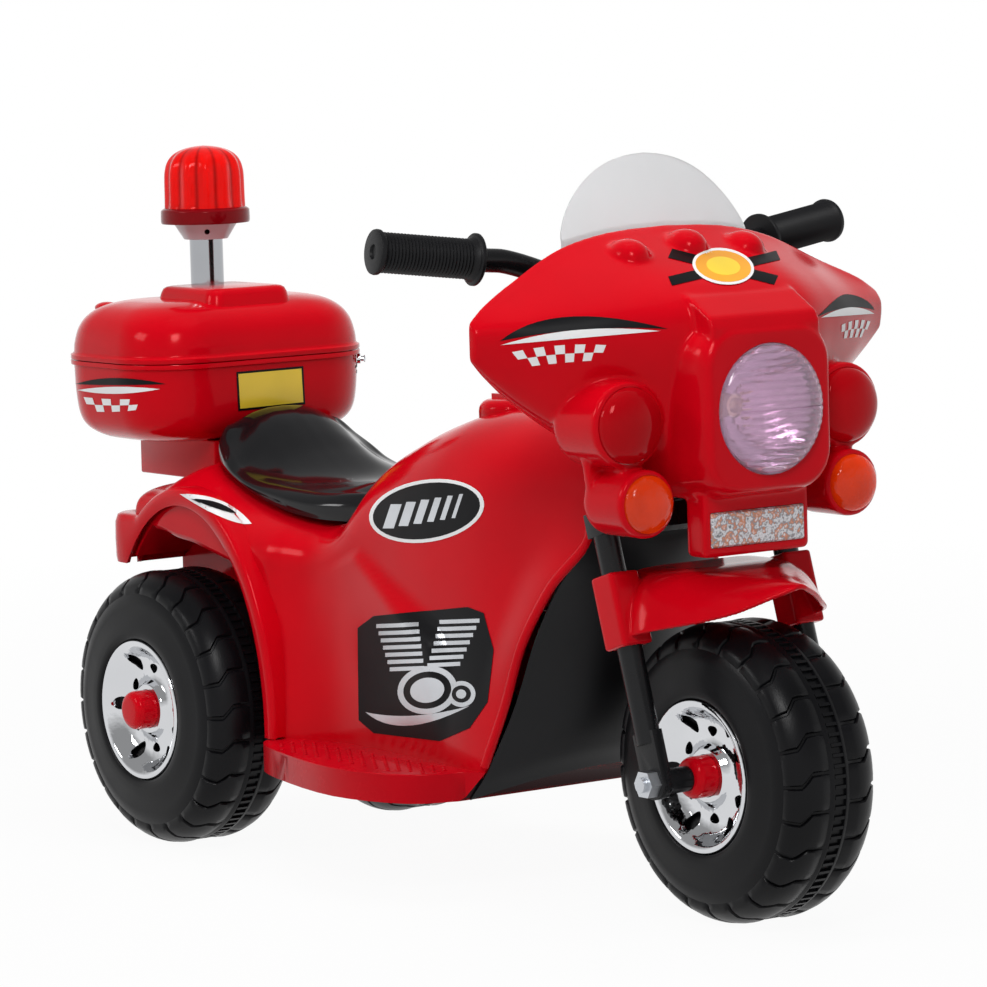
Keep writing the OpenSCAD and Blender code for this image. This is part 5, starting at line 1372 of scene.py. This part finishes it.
# %% Handlebar
bar_w, grip_l, bar_s = 388.0, 74.0, 112.0
grip_in = np.array([head_x - 58, bar_w / 2 - grip_l, head_z + 136])
grip_end = np.array([head_x - 72, bar_w / 2 - 1, head_z + 145])
bar_mid = np.array([head_x - math.sin(rake) * bar_s, 0, head_z + math.cos(rake) * bar_s])
bar_points = [grip_end, grip_in, grip_in + [6, -26, -4], bar_mid + [-7, 44, 6], bar_mid + [0, 24, 0],
              bar_mid + [0, 12, 0], bar_mid]
bar_half = through([list(p) for p in bar_points], 64)[2:]
bar_path = bar_half + [[p[0], -p[1], p[2]] for p in bar_half[-2::-1]]
piece("handlebar_tube", to_mesh("handlebar", tube(bar_path, 8.0, 24)), "steering", black, ["handlebar"])

# %% [markdown]
# A grip is a sleeve with a flange and raised rings along it. All of that is one profile turned about the
# bar's own line, so the rings come out straight and even.

# %% Grips
grip_r = 13.5


def turned_along(a, b, profile, sides=56):
    """A form turned about the line from a to b: profile of (radius, distance)."""
    a, b = Vector(a), Vector(b)
    t = (b - a).normalized()
    s = t.cross(Vector((1, 0, 0))).normalized()
    u = t.cross(s)
    return [[tuple(a + t * h + r * (c * s + q * u)) for c, q in circle(sides)] for r, h in profile]


grip_len = float(np.linalg.norm(grip_end - grip_in))
grip_line = [(8.7, 0), (17, 0), (17.5, 0.6), (17.5, 2.4), (17, 3), (15.2, 3.6), (14.4, 5)]
ribs_along = 26
for k in range(ribs_along * 4 + 1):
    h = 6 + k * (grip_len - 11) / (ribs_along * 4)
    grip_line.append((grip_r - 0.5 + 0.55 * math.cos(math.pi * k / 2), h))
grip_line += [(15, grip_len - 3.6), (15.2, grip_len - 2), (14.8, grip_len - 0.5), (14, grip_len), (5, grip_len),
              (4.4, grip_len - 1.5), (0.4, grip_len - 1.5)]
for node, s in (("grip_left", 1), ("grip_right", -1)):
    side = np.array([1, s, 1])
    part = skin(turned_along(grip_in * side, grip_end * side, grip_line))
    piece(node + "_sleeve", to_mesh(node, part), "steering", black_grip, [node])

# %% [markdown]
# The plate is a bare glittering film in a thin frame on the chin. It is a plain rounded block, because the
# glitter is all in its finish.

# %% Number plate
plate_part = plate_box(plate_x, plate_x + 3.1, -plate_half, plate_half, plate_low, plate_high, 1.5)
piece("number_plate_film", to_mesh("number_plate", plate_part), "steering", plate_film, ["number_plate"])

# %% [markdown]
# The footboards have small moulded pips against slipping. A node tree sets one low pip on each of a
# field of points.

# %% Footboard pips
def pip_tree(name):
    """Low domes on the points of the object's mesh."""
    tree, source, copies = copies_tree(name, Radius="Float", Height="Float")
    new, link = tree.nodes.new, tree.links.new
    ball, size = new("GeometryNodeMeshUVSphere"), new("ShaderNodeCombineXYZ")
    for socket, value in (("Segments", 10), ("Rings", 6), ("Radius", 1.0)):
        ball.inputs[socket].default_value = value
    link(source.outputs["Radius"], size.inputs["X"])
    link(source.outputs["Radius"], size.inputs["Y"])
    link(source.outputs["Height"], size.inputs["Z"])
    link(source.outputs["Geometry"], copies.inputs["Points"])
    link(ball.outputs["Mesh"], copies.inputs["Instance"])
    link(size.outputs[0], copies.inputs["Scale"])
    return tree


pip_start, pip_pitch, pip_rows = (150, 94), (7.2, 9), (26, 4)
narrow_y, board_mid, board_half, far_end = 118, 240, 70, 245
pip_points = []
for i in range(pip_rows[0]):
    for j in range(pip_rows[1]):
        x = pip_start[0] + pip_pitch[0] * i
        y = pip_start[1] + pip_pitch[1] * (j + 0.5 * (i % 2))
        if y < narrow_y or abs(x - board_mid) < board_half:
            pip_points += [(x, -y, foot_top + 0.1)] + ([(x, y, foot_top + 0.1)] if x < far_end else [])
pip_mesh = bpy.data.meshes.new("pip_points")
pip_mesh.from_pydata([((p[0] + rear_x) / 1000, p[1] / 1000, p[2] / 1000) for p in pip_points], [], [])
pips = grown("footboard_pips", pip_mesh, pip_tree("pips_on_points"), Radius=0.0016, Height=0.0011,
             Finish=red_pan)
piece("footboard_pips", pips, "chassis", red_pan, angle=60)

# %% [markdown]
# Stickers are thin printed films. Their outlines are drawn on the picture plane and laid on the moulding
# along the camera's own rays, so each one follows the curve that carries it. The designs are plain
# stripes, checks and shapes.

# %% Laying a film
film_gap, film_wall = 0.3, 0.12


def camera_ray(px, py):
    """The direction in which the camera sees a pixel."""
    half = image_px / 2
    return (right * (px - half) / focal_px + up * (half - py) / focal_px - back).normalized()


def laid_film(outline, carrier, layer, mirrored, step=3.0):
    """Points and faces of a film cut to an outline in picture pixels and laid on a carrier mesh."""
    work = bmesh.new()
    work.faces.new([work.verts.new((x, y, 0)) for x, y in outline])
    for axis in (0, 1):
        values = [p[axis] for p in outline]
        for k in np.arange(min(values) + step, max(values), step):
            at = [0.0, 0.0, 0.0]
            at[axis] = k
            bmesh.ops.bisect_plane(work, geom=work.verts[:] + work.edges[:] + work.faces[:], dist=1e-4,
                                   plane_co=at, plane_no=(1 - axis, axis, 0))
    bmesh.ops.triangulate(work, faces=work.faces)
    points = []
    for v in work.verts:
        hit, normal, _, _ = carrier.ray_cast(spot, camera_ray(v.co.x, v.co.y))
        points.append(hit + normal * (film_gap + film_wall * layer) / 1000)
    faces = [tuple(v.index for v in f.verts) for f in work.faces]
    work.free()
    if mirrored:
        count = len(points)
        points += [Vector((p.x, -p.y, p.z)) for p in points]
        faces += [tuple(count + i for i in reversed(f)) for f in faces]
    return points, faces


def film_piece(name, body, obj, films):
    """One piece of several films: (finish, outlines, layer, mirrored)."""
    carrier = BVHTree.FromPolygons([v.co for v in obj.data.vertices],
                                   [tuple(f.vertices) for f in obj.data.polygons])
    points, faces, owners, materials = [], [], [], []
    for material, outlines, layer, mirrored in films:
        if material not in materials:
            materials.append(material)
        for outline in outlines:
            p, f = laid_film(outline, carrier, layer, mirrored)
            faces += [tuple(len(points) + i for i in face) for face in f]
            owners += [materials.index(material)] * len(f)
            points += p
    mesh = bpy.data.meshes.new(name)
    mesh.from_pydata(points, [], faces)
    for material in materials:
        mesh.materials.append(material)
    mesh.polygons.foreach_set("material_index", owners)
    with editing(mesh) as work:
        bmesh.ops.recalc_face_normals(work, faces=work.faces)
        for f in work.faces:
            if f.normal.dot(carrier.find_nearest(f.calc_center_median())[1]) < 0:
                f.normal_flip()
    return piece(name, baked(name, mesh, wall(film_wall, 1)), body, None, angle=50)


def bend(a, c, b, n=14):
    """A curved edge from a to b, pulled toward c."""
    return [((1 - t) ** 2 * a[0] + 2 * t * (1 - t) * c[0] + t * t * b[0],
             (1 - t) ** 2 * a[1] + 2 * t * (1 - t) * c[1] + t * t * b[1]) for t in np.linspace(0, 1, n)]


def blade(a, over, b, under):
    """A tapered stripe between two curved edges that share their ends."""
    return bend(a, over, b) + bend(b, under, a)[1:-1]


def oval(cx, cy, rx, ry, turn, n=40):
    """A turned oval."""
    c, q = math.cos(math.radians(turn)), math.sin(math.radians(turn))
    return [(cx + rx * math.cos(t) * c - ry * math.sin(t) * q, cy + rx * math.cos(t) * q + ry * math.sin(t) * c)
            for t in np.linspace(0, 2 * math.pi, n, endpoint=False)]


def checks(top, low, across, rows):
    """Every other cell of a band between two curves."""
    upper, lower = bend(*top, n=across + 1), bend(*low, n=across + 1)

    def corner(k, m):
        return tuple(mix(a, b, m / rows) for a, b in zip(upper[k], lower[k]))

    return [[corner(i, j), corner(i + 1, j), corner(i + 1, j + 1), corner(i, j + 1)]
            for i in range(across) for j in range(rows) if (i + j) % 2 == 0]


# %% [markdown]
# Fairing wings: a black and a white blade over a short band of checks. On the hood sits a plain orange
# roundel over two crossed bars.

# %% Fairing films
wing_black = blade((500, 341), (552, 299), (668, 329), (585, 324))
wing_white = blade((501, 345), (575, 322), (660, 331), (580, 338))
wing_checks = checks(((512, 352), (560, 342), (606, 345)), ((524, 367), (560, 362), (600, 360)), 9, 2)
crossed_bars = [[(668, 258), (672, 249), (778, 276), (774, 285)],
                [(668, 277), (776, 251), (780, 260), (672, 286)]]
roundel_at, roundel_turn = (723, 267), 8
roundel = ((film_white, 31, 18, 2), (film_orange, 28, 15.4, 3), (film_yellow, 17, 9, 4))
film_piece("fairing_films", "steering", fairing, [
    (film_black, [wing_black], 0, True), (film_white, [wing_white], 0, True),
    (film_white, wing_checks, 0, True), (film_black, crossed_bars, 0, False)]
    + [(colour, [oval(*roundel_at, rx, ry, roundel_turn)], layer, False) for colour, rx, ry, layer in roundel])

# %% [markdown]
# The tank carries an oval badge with six slanted bars and the rear fender a small leaf, on both sides. The
# flank has a printed picture of a finned engine in silver on black. It is on the near side only, because
# the switches take its place on the other.

# %% Body films
badge_at, badge_turn, badge_rise = (427, 511), -9, -0.158


def slanted_bars(middle, rise, sizes, half, lean):
    """Slanted bars in a row, each given by its place along the row and its width."""
    out = []
    for place, width in sizes:
        x, y = middle[0] + place, middle[1] + rise * place
        out.append([(x - width / 2 - lean, y + half), (x + width / 2 - lean, y + half),
                    (x + width / 2 + lean, y - half), (x - width / 2 + lean, y - half)])
    return out


bar_sizes = ((-34, 11), (-19, 9.5), (-5, 8), (8, 6.5), (20, 5), (31, 3.6))
badge_bars = slanted_bars(badge_at, badge_rise, bar_sizes, 12, 4)
badge_edge, badge_face = (oval(*badge_at, *size, badge_turn) for size in ((58, 31), (54, 27.5)))
leaf_edge = blade((180, 494), (228, 494), (252, 524), (232, 528))
leaf_face = blade((192, 499), (222, 501), (236, 514), (222, 513))
engine_base = [(358, 628), (374, 616), (468, 607), (484, 613), (494, 650), (488, 702), (470, 728), (440, 741),
               (374, 733), (359, 720)]


fin_count, fin_pitch, fin_taper = 7, 7.2, 0.03


def fins(x, y, lean, width):
    """Cooling fins of one cylinder, leaning to a side."""
    out = []
    for k in range(fin_count):
        cx, cy, w = x + lean * k, y + fin_pitch * k, width * (1 - fin_taper * k)
        out.append([(cx - w, cy - 2.0), (cx + w, cy - 3.4), (cx + w, cy + 0.6), (cx - w, cy + 2.0)])
    return out


large_at, small_at, large_turn = (428, 690), (462, 694), -8


def engine_covers(large, small):
    """The large and the small round cover of the crankcase, at given half sizes."""
    return [oval(*large_at, *large, large_turn), oval(*small_at, *small, 0)]


exhaust = blade((366, 712), (400, 742), (470, 706), (410, 722))
front_fins, rear_fins = fins(398, 626, 1.6, 21), fins(460, 622, -2.6, 20)
engine_silver = front_fins + rear_fins + engine_covers((30, 24), (14, 13)) + [exhaust]
engine_dark = engine_covers((24, 18.5), (9.5, 8.6))
engine_shine = engine_covers((17, 12.5), (5, 4.6))
film_piece("body_films", "chassis", body, [
    (film_white, [badge_edge], 0, True), (film_black, [badge_face], 1, True),
    (film_silver, badge_bars, 2, True),
    (film_black, [engine_base], 0, False), (film_silver, engine_silver, 1, False),
    (film_black, engine_dark, 2, False), (film_silver, engine_shine, 3, False),
    (film_white, [leaf_edge], 0, True), (film_black, [leaf_face], 4, True)])

# %% [markdown]
# The trunk has a stripe with checks on each side and one plain yellow label. The label's black edge is a
# larger film underneath, which is how such labels are printed.

# %% Trunk films
stripe_black = blade((76, 384), (110, 372), (166, 384), (112, 386))
stripe_white = blade((78, 390), (112, 384), (160, 389), (114, 398))
stripe_checks = checks(((84, 397), (110, 400), (140, 399)), ((90, 411), (112, 413), (136, 410)), 6, 2)
label_edge = [(236, 372), (303, 366), (305, 404), (238, 411)]
label_face = [(238, 374), (301, 368.4), (303, 402), (240, 408.6)]
film_piece("trunk_films", "chassis", tub, [
    (film_black, [stripe_black], 0, True), (film_white, [stripe_white], 0, True),
    (film_white, stripe_checks, 0, True), (film_black, [label_edge], 0, False),
    (film_yellow, [label_face], 1, False)])

# %% [markdown]
# Floor and backdrop are pale and plain. The camera sees them as white, while every other ray meets an
# ordinary pale floor that still takes a soft shadow.

# %% Floor
def pale_floor():
    """A floor that the camera sees as white and that still takes a faint shadow."""
    material = bpy.data.materials.new("pale_floor")
    material.use_nodes = True
    tree = material.node_tree
    tree.nodes.remove(tree.nodes["Principled BSDF"])
    out = tree.nodes["Material Output"]
    new, link = tree.nodes.new, tree.links.new
    diffuse, glow, blend, path = (new("ShaderNode" + kind) for kind in (
        "BsdfDiffuse", "Emission", "MixShader", "LightPath"))
    diffuse.inputs["Color"].default_value = (0.7, 0.7, 0.7, 1)
    glow.inputs["Color"].default_value = (1, 1, 1, 1)
    glow.inputs["Strength"].default_value = 1.0
    seen, both, share = (new("ShaderNodeMath") for _ in range(3))
    seen.operation, both.operation, share.operation = "MAXIMUM", "MAXIMUM", "MULTIPLY"
    where, far_off, fade = new("ShaderNodeTexCoord"), new("ShaderNodeVectorMath"), new("ShaderNodeMapRange")
    far_off.operation = "LENGTH"
    for socket, value in (("From Min", 0.7), ("From Max", 2.0), ("To Min", 0.95), ("To Max", 1.0)):
        fade.inputs[socket].default_value = value
    link(where.outputs["Object"], far_off.inputs[0])
    link(far_off.outputs["Value"], fade.inputs["Value"])
    link(fade.outputs["Result"], share.inputs[1])
    link(path.outputs["Is Camera Ray"], seen.inputs[0])
    link(path.outputs["Is Transmission Ray"], seen.inputs[1])
    link(seen.outputs[0], both.inputs[0])
    link(path.outputs["Is Glossy Ray"], both.inputs[1])
    link(both.outputs[0], share.inputs[0])
    link(share.outputs[0], blend.inputs["Fac"])
    link(diffuse.outputs[0], blend.inputs[1])
    link(glow.outputs[0], blend.inputs[2])
    link(blend.outputs[0], out.inputs["Surface"])
    return material


floor_half, floor_z = 6.0, -0.0005
floor_mesh = bpy.data.meshes.new("floor")
corners = [(x * floor_half, y * floor_half, floor_z) for x, y in ((-1, -1), (1, -1), (1, 1), (-1, 1))]
floor_mesh.from_pydata(corners, [], [(0, 1, 2, 3)])
floor = bpy.data.objects.new("floor", floor_mesh)
bpy.context.scene.collection.objects.link(floor)
floor_mesh.materials.append(pale_floor())
print("floor laid")

# %% [markdown]
# Soft light: a key from the front right above, a smaller lamp on the near side, a broad lamp overhead and a
# pale world. Glossy red shows the first two as long clean highlights. The overhead lamp is hidden from
# reflections, because a white sheen from above would wash out the red of hood and deck.

# %% World and lamps
world = bpy.data.worlds.new("studio")
bpy.context.scene.world = world
world.use_nodes = True
sky = world.node_tree.nodes["Background"]
new, link = world.node_tree.nodes.new, world.node_tree.links.new
path, toward, parts = (new("ShaderNode" + kind) for kind in ("LightPath", "TexCoord", "SeparateXYZ"))
either, any_of, shone = (new("ShaderNodeMath") for _ in range(3))
either.operation, any_of.operation, shone.operation = "MAXIMUM", "MAXIMUM", "MULTIPLY"
dome_shade, level = new("ShaderNodeMapRange"), new("ShaderNodeMapRange")
for socket, value in (("From Min", 0.12), ("From Max", 0.55), ("To Min", 1.0), ("To Max", 0.2)):
    dome_shade.inputs[socket].default_value = value
for socket, value in (("To Min", 0.24), ("To Max", 1.0)):
    level.inputs[socket].default_value = value
link(toward.outputs["Generated"], parts.inputs[0])
link(parts.outputs["Z"], dome_shade.inputs["Value"])
link(dome_shade.outputs["Result"], shone.inputs[1])
link(path.outputs["Is Glossy Ray"], shone.inputs[0])
link(path.outputs["Is Camera Ray"], either.inputs[0])
link(path.outputs["Is Transmission Ray"], either.inputs[1])
link(either.outputs[0], any_of.inputs[0])
link(shone.outputs[0], any_of.inputs[1])
link(any_of.outputs[0], level.inputs["Value"])
link(level.outputs["Result"], sky.inputs["Strength"])
sky.inputs["Color"].default_value = (1, 1, 1, 1)


def softbox(name, place, aim, width, height, watts):
    """A rectangular lamp aimed at a point."""
    lamp = bpy.data.lights.new(name, "AREA")
    lamp.shape = "RECTANGLE"
    lamp.size, lamp.size_y, lamp.energy = width, height, watts
    obj = bpy.data.objects.new(name, lamp)
    bpy.context.scene.collection.objects.link(obj)
    obj.location = place
    obj.rotation_euler = (Vector(aim) - Vector(place)).to_track_quat("-Z", "Y").to_euler()
    return obj


softbox("key", (1.6, -1.3, 1.9), (0, 0, 0.25), 0.55, 0.75, 25)
softbox("near_side", (-0.6, -2.0, 1.5), (0, 0, 0.2), 0.7, 0.55, 10)
top_light = softbox("top", (0.1, 0.1, 2.2), (0, 0, 0.2), 1.4, 1.2, 26)
top_light.visible_glossy = False
print("lamps set")
